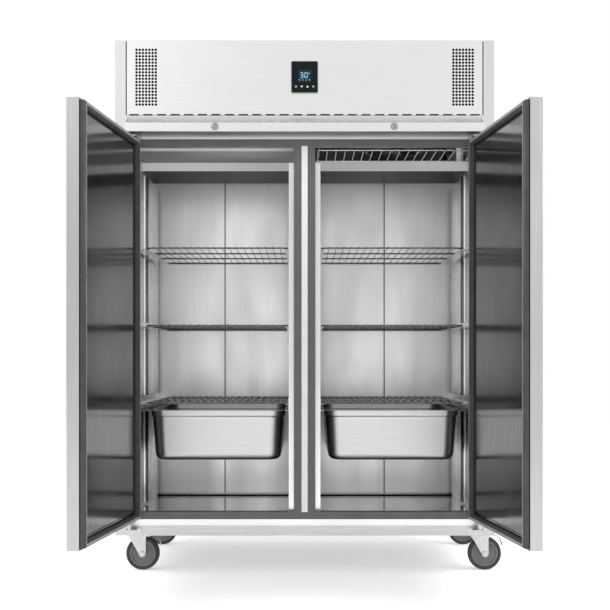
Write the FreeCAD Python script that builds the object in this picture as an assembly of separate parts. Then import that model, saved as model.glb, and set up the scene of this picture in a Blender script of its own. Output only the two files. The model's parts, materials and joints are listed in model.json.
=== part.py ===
# Double-door reach-in refrigerator on castors, in millimetres.
# The model is laid out with X = 0 on the middle plane, Z = 0 on the floor and Y = 0 on the casing's
# front plane, doors towards -Y.  Export moves it so that the origin is under the middle of its box.
import FreeCAD, Part
import math
import os

from FreeCAD import Vector

# ---- Casing ----
body_width = 1390.0
body_depth = 780.0
body_top = 1960.0
skin = 1.0
pillar_width = 39.0
edge_fold = 16.0
side_fold = 12.0
side_wall = 48.0
back_wall = 60.0
floor_wall = 46.0
ceiling_wall = 45.5
machine_height = 272.0
deck_thickness = 1.5
rail_height = 20.0
rail_sheet = 2.0
rail_front_gap = 14.0
rail_rear_gap = 30.0
rear_seam_x = 343.0
rear_seam_half = 2.0
rear_sheet = 1.2
rear_sheet_rise = 60.0
louvre_rows = 11
louvre_length = 300.0
louvre_pitch = 16.0
top_louvre_pitch = 42.0

# ---- Door opening and front frame ----
sill_height = 26.4
header_drop = 115.6
strip_width = 28.0
strip_height = 25.2
strip_thickness = 3.0
strip_depth = 40.0
bottom_rail = 23.0
mullion_half = 39.0
mullion_depth = 45.0
mullion_wall = 1.5
trim_half = 10.9

# ---- Doors ----
door_thickness = 40.0
door_meeting_gap = 2.5
door_overlap = 2.5
door_head_gap = 3.1
door_rest_angle = 96.8
hinge_inset = 20.0
gasket_width = 22.0
gasket_inset = 6.0
gasket_height = 19.6
gasket_gap = 0.4
gasket_base = 14.0
gasket_taper = 9.0
pad_rise = 6.0
pad_margin = 8.0
pin_radius = 5.0
running_gap = 0.05
bush_radius = 8.0
bush_length = 22.0
handle_width = 46.0
handle_height = 320.0
handle_depth = 22.0
handle_edge = 30.0
handle_middle = 1050.0
handle_wall = 2.0
handle_flange = 5.0
handle_proud = 1.6
hinge_leaf = 4.0
strike_half = 14.0
strike_drop = 24.0

# ---- Fascia, canopy, controller, locks ----
fascia_sheet = 1.2
fascia_end_gap = 4.0
slot_length = 34.0
slot_pitch = 50.0
slot_height = 4.0
vent_hole_radius = 4.7
vent_pitch = 11.8
vent_columns = 7
vent_rows = 18
vent_x = 581.0
vent_drop = 135.0
bezel_width = 100.0
bezel_height = 118.0
bezel_proud = 3.0
bezel_plug_depth = 14.0
display_width = 49.0
display_height = 44.0
display_rise = 4.0
display_sink = 1.5
bezel_frame = 5.0
bezel_corner = 6.0
canopy_height = 71.0
canopy_nose = 31.0
cove_reach_share = 0.42
cove_drop_share = 0.72
lock_x = 324.0
lock_rise = 17.0
lock_radius = 11.0
plug_radius = 7.0
cam_reach = 52.0
cam_width = 16.0
cam_thickness = 3.0
barrel_length = 26.0

# ---- Shelving ----
shelf_width = 530.0
shelf_length = 650.0
low_shelf_rise = 424.0
top_bay = 339.0
shelf_inner_x = 61.0
shelf_front = 60.0
shelf_rod = 3.0
shelf_wire = 1.6
shelf_wire_count = 18
shelf_corner = 14.0
pan_hang = 27.0
pan_depth = 189.0
pan_front = 66.0
pan_flange = 13.0
pan_shoulder_drop = 22.0
pan_shoulder = 5.0
pan_sheet = 1.0
pan_lean = 9.0
pan_corner = 52.0
pan_flange_corner = 30.0
pan_floor_bend = 26.0
upright_width = 20.0
upright_sheet = 1.5
upright_depth = 30.0
upright_slot_pitch = 36.0
upright_head_gap = 25.0
foot_height = 34.0
centre_upright_x = 39.7
centre_upright_front = 46.0
wall_upright_front = 70.0
rear_upright_front = 640.0
runner_ledge = 12.0
runner_height = 22.0
rest_gap = 0.3

# ---- Evaporator zone in the ceiling ----
lip_depth = 369.0
lip_height = 38.0
lip_rise = 8.6
cover_rear_gap = 42.0
guard_front = 120.0
guard_rise = 3.6
fan_rise = 18.0
guard_wire_count = 18
cover_edge = 20.0
cover_fold = 12.0
hanger_width = 20.0
guard_wire = 1.5
guard_rod = 2.0
evaporator_fan_radius = 95.0
evaporator_fan_x = 343.0
evaporator_fan_y = 245.0
coil_half_width = 570.0
coil_gap = 20.0
coil_fins = 40
fin_thickness = 2.0
pipe_hole_x = -180.0
pipe_hole_y = 560.0
pipe_hole_radius = 22.0

# ---- Machine compartment ----
condenser_fan_radius = 95.0
condenser_x = 420.0
condenser_y = 330.0
condenser_rise = 130.0
condenser_half_width = 130.0
condenser_coil_depth = 60.0
condenser_top = 256.0
condenser_fins = 26
compressor_x = -380.0
compressor_y = 380.0
shell_radius = 78.0
shell_height = 178.0
foot_rubber = 16.0
hot_pipe_radius = 3.0
cold_pipe_radius = 5.0
gland_inset = 95.0
gland_rise = 24.0
gland_thread = 8.0
gland_bore = 4.2
gland_head = 7.0
gland_dome = 7.0

# ---- Castors ----
wheel_diameter = 125.0
wheel_width = 32.0
castor_head_room = 33.0
castor_inset = 53.0
castor_front = 109.0
castor_rear_inset = 99.0
castor_trail = 34.0
castor_plate = 90.0
castor_plate_thickness = 5.0
bearing_radius = 32.0
bearing_height = 8.0
crown_thickness = 6.0
crown_gap = 0.5
fork_boss = 13.0
axle_radius = 5.0
pedal_reach = 30.0
pedal_drop = 4.0
pedal_half_width = 15.0
pedal_pin_radius = 2.5
fork_gap = 3.5
fork_sheet = 3.0
kingpin_radius = 6.0
apron_drop = 14.0
apron_height = 37.0

# ---- Worked out from the values above ----
half_width = body_width / 2
gland_x = gland_inset - half_width
castor_x = half_width - castor_inset
castor_rear = body_depth - castor_rear_inset
pillar_inner = half_width - pillar_width
liner_x = half_width - side_wall
liner_back = body_depth - back_wall
castor_height = wheel_diameter + castor_head_room
casing_bottom = castor_height
deck_top = body_top - machine_height
liner_floor = casing_bottom + floor_wall
liner_ceiling = deck_top - deck_thickness - ceiling_wall
opening_x = pillar_inner - strip_width
strip_bottom = liner_floor
opening_bottom = strip_bottom + sill_height
opening_top = deck_top - header_drop
strip_top = opening_top + strip_height
door_outer = gasket_gap + gasket_height + door_thickness
door_inner = gasket_gap + gasket_height
door_bottom = strip_bottom - door_overlap
door_top = strip_top - door_head_gap
fascia_bottom = deck_top - deck_thickness - 0.5
vent_middle = body_top - vent_drop
canopy_reach = door_outer
canopy_bottom = fascia_bottom - canopy_height
canopy_nose_top = canopy_bottom + canopy_nose
lock_z = canopy_bottom + lock_rise
lip_top = opening_top + lip_rise
cover_bottom = lip_top - lip_height
guard_height = opening_top + guard_rise
fan_floor = guard_height + fan_rise
low_shelf = liner_floor + low_shelf_rise
high_shelf = cover_bottom - top_bay
shelf_heights = {"low": low_shelf, "middle": (low_shelf + high_shelf) / 2, "high": high_shelf}
pan_rim_height = low_shelf - pan_hang
upright_top = cover_bottom - upright_head_gap
foot_top = liner_floor + foot_height
hinge_x = pillar_inner - hinge_inset
hinge_y = -door_outer + hinge_inset
shelf_outer_x = shelf_inner_x + shelf_width
centre_upright_face = shelf_inner_x - 2.4
wall_upright_face = liner_x - upright_width
wheel_radius = wheel_diameter / 2
condenser_z = deck_top + condenser_rise
gland_z = deck_top + gland_rise
barrel_back = -canopy_reach + barrel_length
lower_leaf_top = casing_bottom + 14.0
upper_leaf_bottom = door_top + 5.5
head_bottom = castor_height - castor_plate_thickness - bearing_height
crown_bottom = head_bottom - crown_gap - crown_thickness
leg_y = wheel_width / 2 + fork_gap
pedal_x = castor_trail + pedal_reach
pedal_z = crown_bottom - pedal_drop


def box(x0, x1, y0, y1, z0, z1):
    return Part.makeBox(x1 - x0, y1 - y0, z1 - z0, Vector(x0, y0, z0))


def rod(start, end, radius):
    along = Vector(*end) - Vector(*start)
    return Part.makeCylinder(radius, along.Length, Vector(*start), along)


def fuse(shapes):
    whole = shapes[0].multiFuse(shapes[1:])
    return whole.removeSplitter()


def mirrored(shape):
    return shape.mirror(Vector(0, 0, 0), Vector(1, 0, 0))


def both_sides(shapes):
    return shapes + [mirrored(shape) for shape in shapes]


def group(shapes):
    return Part.makeCompound(shapes)


def placed(shape, x, y, z=0.0):
    moved = shape.copy()
    moved.translate(Vector(x, y, z))
    return moved


def outline(points):
    return Part.Face(Part.makePolygon([Vector(*point) for point in points + points[:1]]))


def rounded_rectangle(x0, x1, y0, y1, z, radius):
    """Closed wire of four straight sides and four quarter arcs at one height."""
    edges = []
    bend = radius * math.sqrt(0.5)
    corners = [(x1 - radius, y1 - radius, 1, 1), (x0 + radius, y1 - radius, -1, 1),
               (x0 + radius, y0 + radius, -1, -1), (x1 - radius, y0 + radius, 1, -1)]
    last = None
    for x, y, to_x, to_y in corners:
        ends = [Vector(x + to_x * radius, y, z), Vector(x, y + to_y * radius, z)]
        if to_x * to_y < 0:
            ends.reverse()
        if last is not None:
            edges.append(Part.LineSegment(last, ends[0]).toShape())
        edges.append(Part.Arc(ends[0], Vector(x + to_x * bend, y + to_y * bend, z), ends[1]).toShape())
        last = ends[1]
    edges.append(Part.LineSegment(last, edges[0].Vertexes[0].Point).toShape())
    return Part.Wire(edges)


def tapered_block(x0, x1, y0, y1, z0, z1, inset):
    """Block standing on y1 whose face at y0 is smaller by the inset on each side."""
    base = Part.makePolygon([Vector(x0, y1, z0), Vector(x1, y1, z0), Vector(x1, y1, z1),
                             Vector(x0, y1, z1), Vector(x0, y1, z0)])
    face = Part.makePolygon([Vector(x0 + inset, y0, z0 + inset), Vector(x1 - inset, y0, z0 + inset),
                             Vector(x1 - inset, y0, z1 - inset), Vector(x0 + inset, y0, z1 - inset),
                             Vector(x0 + inset, y0, z0 + inset)])
    return Part.makeLoft([base, face], True, True)


def tube_path(points, bend):
    """Straight runs through the points, joined by tangent arcs of one radius."""
    corners = [Vector(*point) for point in points]
    edges = []
    start = corners[0]
    for before, corner, after in zip(corners, corners[1:], corners[2:]):
        back = (before - corner).normalize()
        on = (after - corner).normalize()
        half_turn = (math.pi - back.getAngle(on)) / 2
        cut = bend * math.tan(half_turn)
        enter = corner + back * cut
        leave = corner + on * cut
        middle = corner + (back + on).normalize() * (bend / math.cos(half_turn) - bend)
        edges.append(Part.LineSegment(start, enter).toShape())
        edges.append(Part.Arc(enter, middle, leave).toShape())
        start = leave
    edges.append(Part.LineSegment(start, corners[-1]).toShape())
    return Part.Wire(edges)


def bent_tube(points, radius, bend):
    path = tube_path(points, bend)
    along = Vector(*points[1]) - Vector(*points[0])
    section = Part.Wire(Part.makeCircle(radius, Vector(*points[0]), along))
    return path.makePipeShell([section], True, False)


# ---- Casing ----
def side_panels():
    sheet = box(half_width - skin, half_width, 0, body_depth, casing_bottom, body_top)
    flange = box(pillar_inner, half_width, 0, skin, casing_bottom, body_top)
    fold = box(pillar_inner, pillar_inner + skin, 0, edge_fold, casing_bottom, body_top)
    return group(both_sides([fuse([sheet, flange, fold])]))


def back_panel():
    inner = half_width - skin
    return box(-inner, inner, body_depth - skin, body_depth, casing_bottom, deck_top)


def castor_rail(bottom):
    rail_half = castor_plate / 2
    return box(castor_x - rail_half, castor_x + rail_half, edge_fold + rail_front_gap,
               body_depth - rail_rear_gap, bottom, casing_bottom + deck_thickness + rail_height)


def base_panel():
    """Bottom sheet, and the two rails above it that the castor plates are bolted to."""
    inner = half_width - skin
    sheet_top = casing_bottom + deck_thickness
    sheet = box(-inner, inner, edge_fold, body_depth - skin, casing_bottom, sheet_top)
    hollow = box(castor_x - castor_plate / 2 + rail_sheet, castor_x + castor_plate / 2 - rail_sheet,
                 0, body_depth, sheet_top, sheet_top + rail_height - rail_sheet)
    return group([sheet] + both_sides([castor_rail(sheet_top).cut(hollow)]))


def front_apron():
    """Plinth sheet in front of the casing's lower edge, with its bottom edge folded back."""
    bottom = castor_height - apron_drop
    sheet = box(1 - half_width, half_width - 1, -fascia_sheet, 0, bottom, bottom + apron_height)
    fold = box(1 - half_width, half_width - 1, -fascia_sheet, side_fold, bottom, bottom + fascia_sheet)
    return fuse([sheet, fold])


def pipe_way(bottom, top):
    return rod((pipe_hole_x, pipe_hole_y, bottom), (pipe_hole_x, pipe_hole_y, top), pipe_hole_radius)


def machine_deck():
    inner = half_width - skin
    deck = box(-inner, inner, edge_fold, body_depth - skin, deck_top - deck_thickness, deck_top)
    return deck.cut(pipe_way(deck_top - 10, deck_top + 10))


def top_cover():
    """Flat lid and rear sheets of the machine compartment, each with its louvres."""
    inner = half_width - skin
    lid_top = body_top - 1.1
    gland_edge = gland_x + 60
    gland_plate_top = gland_z + 26
    lid = box(-inner, inner, edge_fold + 4, body_depth, lid_top - skin, lid_top)
    back = box(gland_edge, inner, body_depth - skin, body_depth, deck_top, lid_top - skin)
    corner = box(-inner, gland_edge, body_depth - skin, body_depth, gland_plate_top, lid_top - skin)
    gland_plate = box(-inner, gland_edge, body_depth - skin, body_depth, deck_top, gland_plate_top)
    lid_slots = []
    back_slots = []
    for row in range(louvre_rows):
        z = deck_top + 50 + louvre_pitch * row
        y = 160 + top_louvre_pitch * row
        for x in (-520, -170, 180):
            back_slots.append(box(x, x + louvre_length, body_depth - 5, body_depth + 5, z, z + 7))
        for x in (-560, 260):
            lid_slots.append(box(x, x + louvre_length, y, y + 12, body_top - 5, body_top + 5))
    gland_hole = rod((gland_x, body_depth - 5, gland_z), (gland_x, body_depth + 5, gland_z), gland_thread)
    return group([lid.cut(group(lid_slots)), back.cut(group(back_slots)), corner,
                  gland_plate.cut(gland_hole)])


def front_frame():
    """Top and bottom rails of the front, and the hollow mullion post."""
    inner = pillar_inner
    rails = [box(-inner, inner, 0, skin, casing_bottom, strip_bottom),
             box(-inner, inner, skin, edge_fold, casing_bottom, casing_bottom + deck_thickness),
             box(-inner, inner, 0, skin, strip_top, fascia_bottom),
             box(-inner, inner, skin, edge_fold, deck_top - deck_thickness - skin, fascia_bottom)]
    post = box(-mullion_half + strip_thickness, mullion_half - strip_thickness, strip_thickness,
               mullion_depth, opening_bottom - strip_thickness, opening_top)
    bore = box(-mullion_half + strip_thickness + mullion_wall, mullion_half - strip_thickness - mullion_wall,
               strip_thickness + mullion_wall, mullion_depth - mullion_wall, 0, body_top)
    return group(rails + [post.cut(bore)])


def breaker_strips():
    """Plastic strips round the opening, each with a face and a return into the opening."""
    side = [box(opening_x, pillar_inner, 0, strip_thickness, opening_bottom, opening_top),
            box(opening_x, opening_x + strip_thickness, strip_thickness, strip_depth, opening_bottom,
                opening_top)]
    post = [box(trim_half, mullion_half, 0, strip_thickness, opening_bottom, opening_top),
            box(mullion_half - strip_thickness, mullion_half, strip_thickness, mullion_depth,
                opening_bottom, opening_top)]
    sill_return = box(mullion_half - strip_thickness, opening_x, strip_thickness, strip_depth,
                      opening_bottom - strip_thickness, opening_bottom)
    sill = box(-pillar_inner, pillar_inner, 0, strip_thickness, strip_bottom, opening_bottom)
    head = [box(-pillar_inner, pillar_inner, 0, strip_thickness, opening_top, strip_top),
            box(-opening_x, opening_x, strip_thickness, strip_depth, opening_top,
                opening_top + strip_thickness)]
    return group(both_sides(side + post + [sill_return]) + [sill] + head)


def mullion_trim():
    return box(-trim_half, trim_half, 0, strip_thickness, opening_bottom, opening_top)


def insulation_foam():
    """Foam between the casing and the liner, with the door opening left out."""
    inner = half_width - skin
    foam = box(-inner, inner, edge_fold, body_depth - skin, casing_bottom + deck_thickness,
               deck_top - deck_thickness)
    collar_x = pillar_inner
    collar = box(-collar_x, collar_x, strip_thickness, edge_fold, casing_bottom + deck_thickness,
                 deck_top - deck_thickness - skin)
    flange_y = strip_depth
    passage = box(-opening_x - strip_thickness, opening_x + strip_thickness, 0, flange_y + skin,
                  opening_bottom - strip_thickness, opening_top + strip_thickness)
    tank = box(-liner_x - skin, liner_x + skin, flange_y, liner_back + skin, liner_floor - skin,
               liner_ceiling + skin)
    hollows = [passage, tank, pipe_way(liner_ceiling, deck_top)] + both_sides([castor_rail(0)])
    return foam.fuse(collar).removeSplitter().cut(group(hollows))


def inner_liner():
    """Tank of flat sheets with a front flange, and three rear sheets with a dark joint between them."""
    front = strip_depth
    back = liner_back + skin
    flange_x = opening_x + strip_thickness
    flange_bottom = opening_bottom - strip_thickness
    flange_top = opening_top + strip_thickness
    wall = box(liner_x, liner_x + skin, front, back, liner_floor - skin, liner_ceiling + skin)
    cheek = box(flange_x, liner_x, front, front + skin, liner_floor, liner_ceiling)
    floor = box(-liner_x, liner_x, front, back, liner_floor - skin, liner_floor)
    ceiling = box(-liner_x, liner_x, front, back, liner_ceiling, liner_ceiling + skin)
    rear = box(-liner_x, liner_x, liner_back, back, liner_floor, liner_ceiling)
    below = box(-flange_x, flange_x, front, front + skin, liner_floor, flange_bottom)
    above = box(-flange_x, flange_x, front, front + skin, flange_top, liner_ceiling)
    tank = [floor, ceiling.cut(pipe_way(liner_ceiling - 5, liner_ceiling + 5)), rear, below, above]
    sheet_front = liner_back - rear_sheet
    sheet_top = cover_bottom + rear_sheet_rise
    seam_in = rear_seam_x - rear_seam_half
    seam_out = rear_seam_x + rear_seam_half
    middle = box(-seam_in, seam_in, sheet_front, liner_back, liner_floor, sheet_top)
    outer = box(seam_out, liner_x, sheet_front, liner_back, liner_floor, sheet_top)
    return group(tank + [middle] + both_sides([wall, cheek, outer]))


# ---- Ceiling covers, evaporator and fans ----
def cover_hanger(x, y, bottom):
    return box(x, x + hanger_width, y, y + skin, bottom, liner_ceiling)


def ceiling_covers():
    """Evaporator cover with its front lip, and the smooth plate over the left compartment."""
    cover_back = liner_back - cover_rear_gap
    side = liner_x - rest_gap
    lip = box(-side, side, lip_depth, lip_depth + skin, cover_bottom, lip_top)
    tray = box(-side, side, lip_depth + skin, cover_back, cover_bottom, cover_bottom + skin)
    rear_edge = box(-side, side, cover_back - skin, cover_back, cover_bottom + skin,
                    cover_bottom + cover_edge)
    plate_x0 = -opening_x - 15
    plate_x1 = -mullion_half - 2
    plate = box(plate_x0, plate_x1, guard_front, lip_depth - 1, guard_height, guard_height + skin)
    plate_edge = box(plate_x0, plate_x1, guard_front, guard_front + skin, guard_height + skin,
                     guard_height + cover_fold)
    hangers = []
    for x in (-side + hanger_width, -hanger_width / 2, side - 2 * hanger_width):
        hangers.append(cover_hanger(x, cover_back - skin, cover_bottom + cover_edge))
        hangers.append(cover_hanger(x, lip_depth, lip_top))
    for x in (-opening_x, -mullion_half - 2 * hanger_width):
        hangers.append(cover_hanger(x, guard_front, guard_height + cover_fold))
    return group([lip, tray, rear_edge, plate, plate_edge] + hangers)


def ceiling_wire_guard():
    """Wires running front to back under the fan, on two cross rods with four hanger rods."""
    x0 = mullion_half + 8
    x1 = opening_x + 12
    pitch = (x1 - x0 - 8) / (guard_wire_count - 1)
    wire_z = guard_height + guard_rod
    rod_z = wire_z + 2.6
    grille = []
    for index in range(guard_wire_count):
        x = x0 + 4 + pitch * index
        grille.append(rod((x, guard_front, wire_z), (x, lip_depth - 3, wire_z), guard_wire))
    hangers = []
    for y in (guard_front + 6, lip_depth - 9):
        grille.append(rod((x0, y, rod_z), (x1, y, rod_z), guard_rod))
        for x in (x0 + 10, x1 - 10):
            hangers.append(rod((x, y, rod_z + guard_rod), (x, y, liner_ceiling), guard_rod))
    return group([fuse(grille)] + hangers)


def evaporator_unit():
    """Finned coil over the drip tray, and the fan's ring, motor and bracket over the wire guard."""
    coil_front = lip_depth + coil_gap
    coil_back = liner_back - cover_rear_gap - coil_gap
    z0 = cover_bottom + 12
    z1 = liner_ceiling
    core_x = coil_half_width - 10
    core = box(-core_x, core_x, coil_front + 4, coil_back - 4, z0 + 8, z1 - 8)
    fins = []
    for index in range(coil_fins + 1):
        x = -coil_half_width + 2 * coil_half_width * index / coil_fins
        fins.append(box(x, x + fin_thickness, coil_front, coil_back, z0, z1))
    centre = (evaporator_fan_x, evaporator_fan_y)
    ring = Part.makeCylinder(evaporator_fan_radius + 12, 26, Vector(*centre, fan_floor))
    ring = ring.cut(Part.makeCylinder(evaporator_fan_radius + 4, 30, Vector(*centre, fan_floor - 1)))
    legs = []
    for side in (-1, 1):
        x = evaporator_fan_x + side * (evaporator_fan_radius + 9)
        legs.append(box(x - 6, x + 6, evaporator_fan_y - 4, evaporator_fan_y + 4, fan_floor, liner_ceiling))
    motor = Part.makeCylinder(30, liner_ceiling - fan_floor - 22, Vector(*centre, fan_floor + 22))
    shaft = Part.makeCylinder(3, 22, Vector(*centre, fan_floor))
    return group([fuse([core] + fins), fuse([ring] + legs), fuse([motor, shaft])])


def fan_rotor(radius, hub_radius, height, bore, blades):
    """Hub with pitched blades about +Z, its foot at the origin."""
    hub = Part.makeCylinder(hub_radius, height)
    parts = [hub]
    for index in range(blades):
        blade = Part.makeBox(radius - hub_radius + 6, hub_radius * 1.5, 1.6,
                             Vector(hub_radius - 6, -hub_radius * 0.75, height / 2 - 0.8))
        blade.rotate(Vector(0, 0, height / 2), Vector(1, 0, 0), 18)
        blade.rotate(Vector(0, 0, 0), Vector(0, 0, 1), 360.0 * index / blades)
        parts.append(blade)
    rotor = fuse(parts)
    rotor = rotor.common(Part.makeCylinder(radius, 60, Vector(0, 0, -20)))
    return rotor.cut(Part.makeCylinder(bore, 100, Vector(0, 0, -50)))


def evaporator_fan():
    rotor = fan_rotor(evaporator_fan_radius, 24.0, 18.0, 3.0 + running_gap, 5)
    rotor.translate(Vector(evaporator_fan_x, evaporator_fan_y, fan_floor + 2))
    return rotor


# ---- Compressor, condenser and their fittings ----
def compressor():
    """Hermetic shell on a base plate with four rubber feet, and its terminal box."""
    z = deck_top
    plate_top = z + foot_rubber + 3
    plate = box(compressor_x - 110, compressor_x + 110, compressor_y - 70, compressor_y + 70,
                z + foot_rubber, plate_top)
    feet = [Part.makeCylinder(12, foot_rubber, Vector(compressor_x + x, compressor_y + y, z))
            for x in (-92, 92) for y in (-54, 54)]
    shell = Part.makeCylinder(shell_radius, shell_height, Vector(compressor_x, compressor_y, plate_top))
    shell = shell.makeFillet(34, [e for e in shell.Edges if len(e.Vertexes) == 1])
    terminals = box(compressor_x + 60, compressor_x + 104, compressor_y - 34, compressor_y + 34,
                    z + 60, z + 130)
    return group([fuse([plate, shell, terminals])] + feet)


def condenser_unit():
    """Finned coil in a shroud, with the fan's motor on a bracket behind it."""
    x0 = condenser_x - condenser_half_width
    x1 = condenser_x + condenser_half_width
    z0 = deck_top
    coil_y = condenser_y - condenser_coil_depth
    shroud_y = condenser_y
    core = box(x0 + 6, x1 - 6, coil_y + 4, shroud_y - 4, z0 + 12, z0 + condenser_top - 8)
    fins = []
    for index in range(condenser_fins):
        x = x0 + 6 + 2 * (condenser_half_width - 6) * index / condenser_fins
        fins.append(box(x, x + fin_thickness, coil_y, shroud_y, z0 + 8, z0 + condenser_top - 4))
    shroud = box(x0, x1, shroud_y, shroud_y + 50, z0, z0 + condenser_top)
    mouth = rod((condenser_x, shroud_y - 1, condenser_z), (condenser_x, shroud_y + 60, condenser_z),
                condenser_fan_radius + 5)
    feet = box(x0, x1, coil_y, shroud_y + 120, z0, z0 + 6)
    motor = rod((condenser_x, shroud_y + 58, condenser_z), (condenser_x, shroud_y + 118, condenser_z), 38)
    shaft = rod((condenser_x, shroud_y + 12, condenser_z), (condenser_x, shroud_y + 60, condenser_z), 4)
    bracket = box(condenser_x - 15, condenser_x + 15, shroud_y + 60, shroud_y + 116, z0, condenser_z - 20)
    return group([fuse([core] + fins), fuse([shroud.cut(mouth), feet, bracket, motor, shaft])])


def condenser_fan():
    rotor = fan_rotor(condenser_fan_radius, 28.0, 26.0, 4.0 + running_gap, 5)
    rotor.rotate(Vector(0, 0, 0), Vector(1, 0, 0), -90)
    rotor.translate(Vector(condenser_x, condenser_y + 14, condenser_z))
    return rotor


def refrigerant_pipes():
    """Hot line to the condenser and cold lines through the deck to the evaporator."""
    z = deck_top
    hot_x = compressor_x + 40
    hot_y = compressor_y - 180
    cold_x = compressor_x + 30
    hot = bent_tube([(hot_x, compressor_y - shell_radius, z + 150), (hot_x, hot_y, z + 150),
                     (hot_x, hot_y, z + 40), (condenser_x - 180, hot_y, z + 40),
                     (condenser_x - 180, condenser_y - 20, z + 40),
                     (condenser_x - 128, condenser_y - 20, z + 40)], hot_pipe_radius, 14.0)
    cold = bent_tube([(cold_x, compressor_y + shell_radius, z + 120), (cold_x, pipe_hole_y, z + 120),
                      (pipe_hole_x, pipe_hole_y, z + 120), (pipe_hole_x, pipe_hole_y, liner_ceiling)],
                     cold_pipe_radius, 18.0)
    return group([hot, cold])


def electrical_box():
    x0 = gland_x - 70
    body = box(x0, x0 + 150, 60, 190, deck_top, deck_top + 110)
    lid = box(x0 - 2, x0 + 152, 58, 192, deck_top + 110, deck_top + 116)
    return fuse([body, lid])


def mains_gland():
    """Cable gland in the back of the lid: hexagon and dome outside, thread and nut inside."""
    back = body_depth
    hexagon = []
    for index in range(6):
        angle = math.radians(60 * index)
        hexagon.append((gland_x + 12 * math.cos(angle), back, gland_z + 12 * math.sin(angle)))
    head = outline(hexagon).extrude(Vector(0, gland_head, 0))
    dome = Part.makeCone(9.5, 7.0, gland_dome, Vector(gland_x, back + gland_head, gland_z), Vector(0, 1, 0))
    thread = rod((gland_x, back - 10, gland_z), (gland_x, back, gland_z), gland_thread)
    nut = rod((gland_x, back - skin - 5, gland_z), (gland_x, back - skin, gland_z), 12)
    whole = fuse([head, dome, thread, nut])
    return whole.cut(rod((gland_x, back - 20, gland_z), (gland_x, back + 30, gland_z), gland_bore))


# ---- Fascia, canopy, controller ----
def fascia_panel():
    """Front cover of the machine compartment, folded back at its edges, with its vent holes."""
    end = pillar_inner - fascia_end_gap
    sheet = box(-end, end, 0, fascia_sheet, fascia_bottom, body_top)
    top = box(-end, end, 0, edge_fold, body_top - fascia_sheet, body_top)
    sides = both_sides([box(end - fascia_sheet, end, 0, side_fold, fascia_bottom + slot_height, body_top)])
    panel = fuse([sheet, top] + sides)
    cuts = []
    for side in (-1, 1):
        for column in range(vent_columns):
            x = side * vent_x + (column - (vent_columns - 1) / 2) * vent_pitch
            for row in range(vent_rows):
                z = vent_middle + (row - (vent_rows - 1) / 2) * vent_pitch
                cuts.append(rod((x, -1, z), (x, fascia_sheet + 1, z), vent_hole_radius))
    slot_count = int(2 * end / slot_pitch)
    for index in range(slot_count):
        x = (index - (slot_count - 1) / 2) * slot_pitch
        cuts.append(box(x - slot_length / 2, x + slot_length / 2, -1, fascia_sheet + 1,
                        fascia_bottom, fascia_bottom + slot_height))
    plug_x = bezel_width / 2 - bezel_frame
    plug_z = bezel_height / 2 - bezel_frame
    cuts.append(box(-plug_x, plug_x, -1, fascia_sheet + 1, vent_middle - plug_z, vent_middle + plug_z))
    return panel.cut(group(cuts))


def canopy_profile(inset):
    """Side outline: a hollow cove from the fascia's foot out to an upright nose."""
    reach = canopy_reach - inset
    top = fascia_bottom - inset
    shoulder = canopy_nose_top - inset / 2
    bottom = canopy_bottom
    middle = Vector(-half_width, -reach * cove_reach_share, top - (top - shoulder) * cove_drop_share)
    cove = Part.Arc(Vector(-half_width, 0, top), middle, Vector(-half_width, -reach, shoulder)).toShape()
    corners = [Vector(-half_width, -reach, shoulder), Vector(-half_width, -reach, bottom),
               Vector(-half_width, 0, bottom), Vector(-half_width, 0, top)]
    sides = [Part.LineSegment(a, b).toShape() for a, b in zip(corners, corners[1:])]
    return Part.Face(Part.Wire([cove] + sides))


def lock_canopy():
    """Hollow hood over the tops of the doors, open below behind a short lip."""
    end = pillar_inner - fascia_end_gap
    sheet = fascia_sheet
    whole = canopy_profile(0).extrude(Vector(2 * half_width, 0, 0))
    hollow = canopy_profile(sheet).extrude(Vector(2 * half_width, 0, 0))
    hollow = hollow.common(box(sheet - end, end - sheet, -canopy_reach, 0, 0, body_top))
    lip = box(-end, end, -canopy_reach, -canopy_reach + side_fold, canopy_bottom, canopy_bottom + sheet)
    hood = whole.common(box(-end, end, -canopy_reach, 0, 0, body_top)).cut(hollow).fuse(lip)
    holes = [rod((x, -canopy_reach - 5, lock_z), (x, -canopy_reach + 5, lock_z), lock_radius - 2)
             for x in (-lock_x, lock_x)]
    return hood.cut(group(holes)).removeSplitter()


def display_window(front):
    middle = vent_middle + display_rise
    return box(-display_width / 2, display_width / 2, front, display_sink - bezel_proud,
               middle - display_height / 2, middle + display_height / 2)


def controller_bezel():
    """Bezel with rounded corners and a plug that goes through the fascia."""
    face = rounded_rectangle(-bezel_width / 2, bezel_width / 2, vent_middle - bezel_height / 2,
                             vent_middle + bezel_height / 2, 0, bezel_corner)
    plate = Part.Face(face).extrude(Vector(0, 0, bezel_proud))
    plate.rotate(Vector(0, 0, 0), Vector(1, 0, 0), 90)
    plug_x = bezel_width / 2 - bezel_frame - 0.5
    plug_z = bezel_height / 2 - bezel_frame - 0.5
    plug = box(-plug_x, plug_x, 0, bezel_plug_depth, vent_middle - plug_z, vent_middle + plug_z)
    return fuse([plate, plug]).cut(display_window(-bezel_proud - 1))


def controller_display():
    return display_window(-bezel_proud)


# ---- Locks and hinges ----
def lock_barrel():
    """Flanged sleeve through the canopy's nose."""
    nose = -canopy_reach
    flange = rod((lock_x, nose - 2, lock_z), (lock_x, nose, lock_z), lock_radius)
    sleeve = rod((lock_x, nose, lock_z), (lock_x, barrel_back, lock_z), lock_radius - 2)
    bore = rod((lock_x, nose - 5, lock_z), (lock_x, barrel_back + 5, lock_z), plug_radius + running_gap)
    return fuse([flange, sleeve]).cut(bore)


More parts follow.
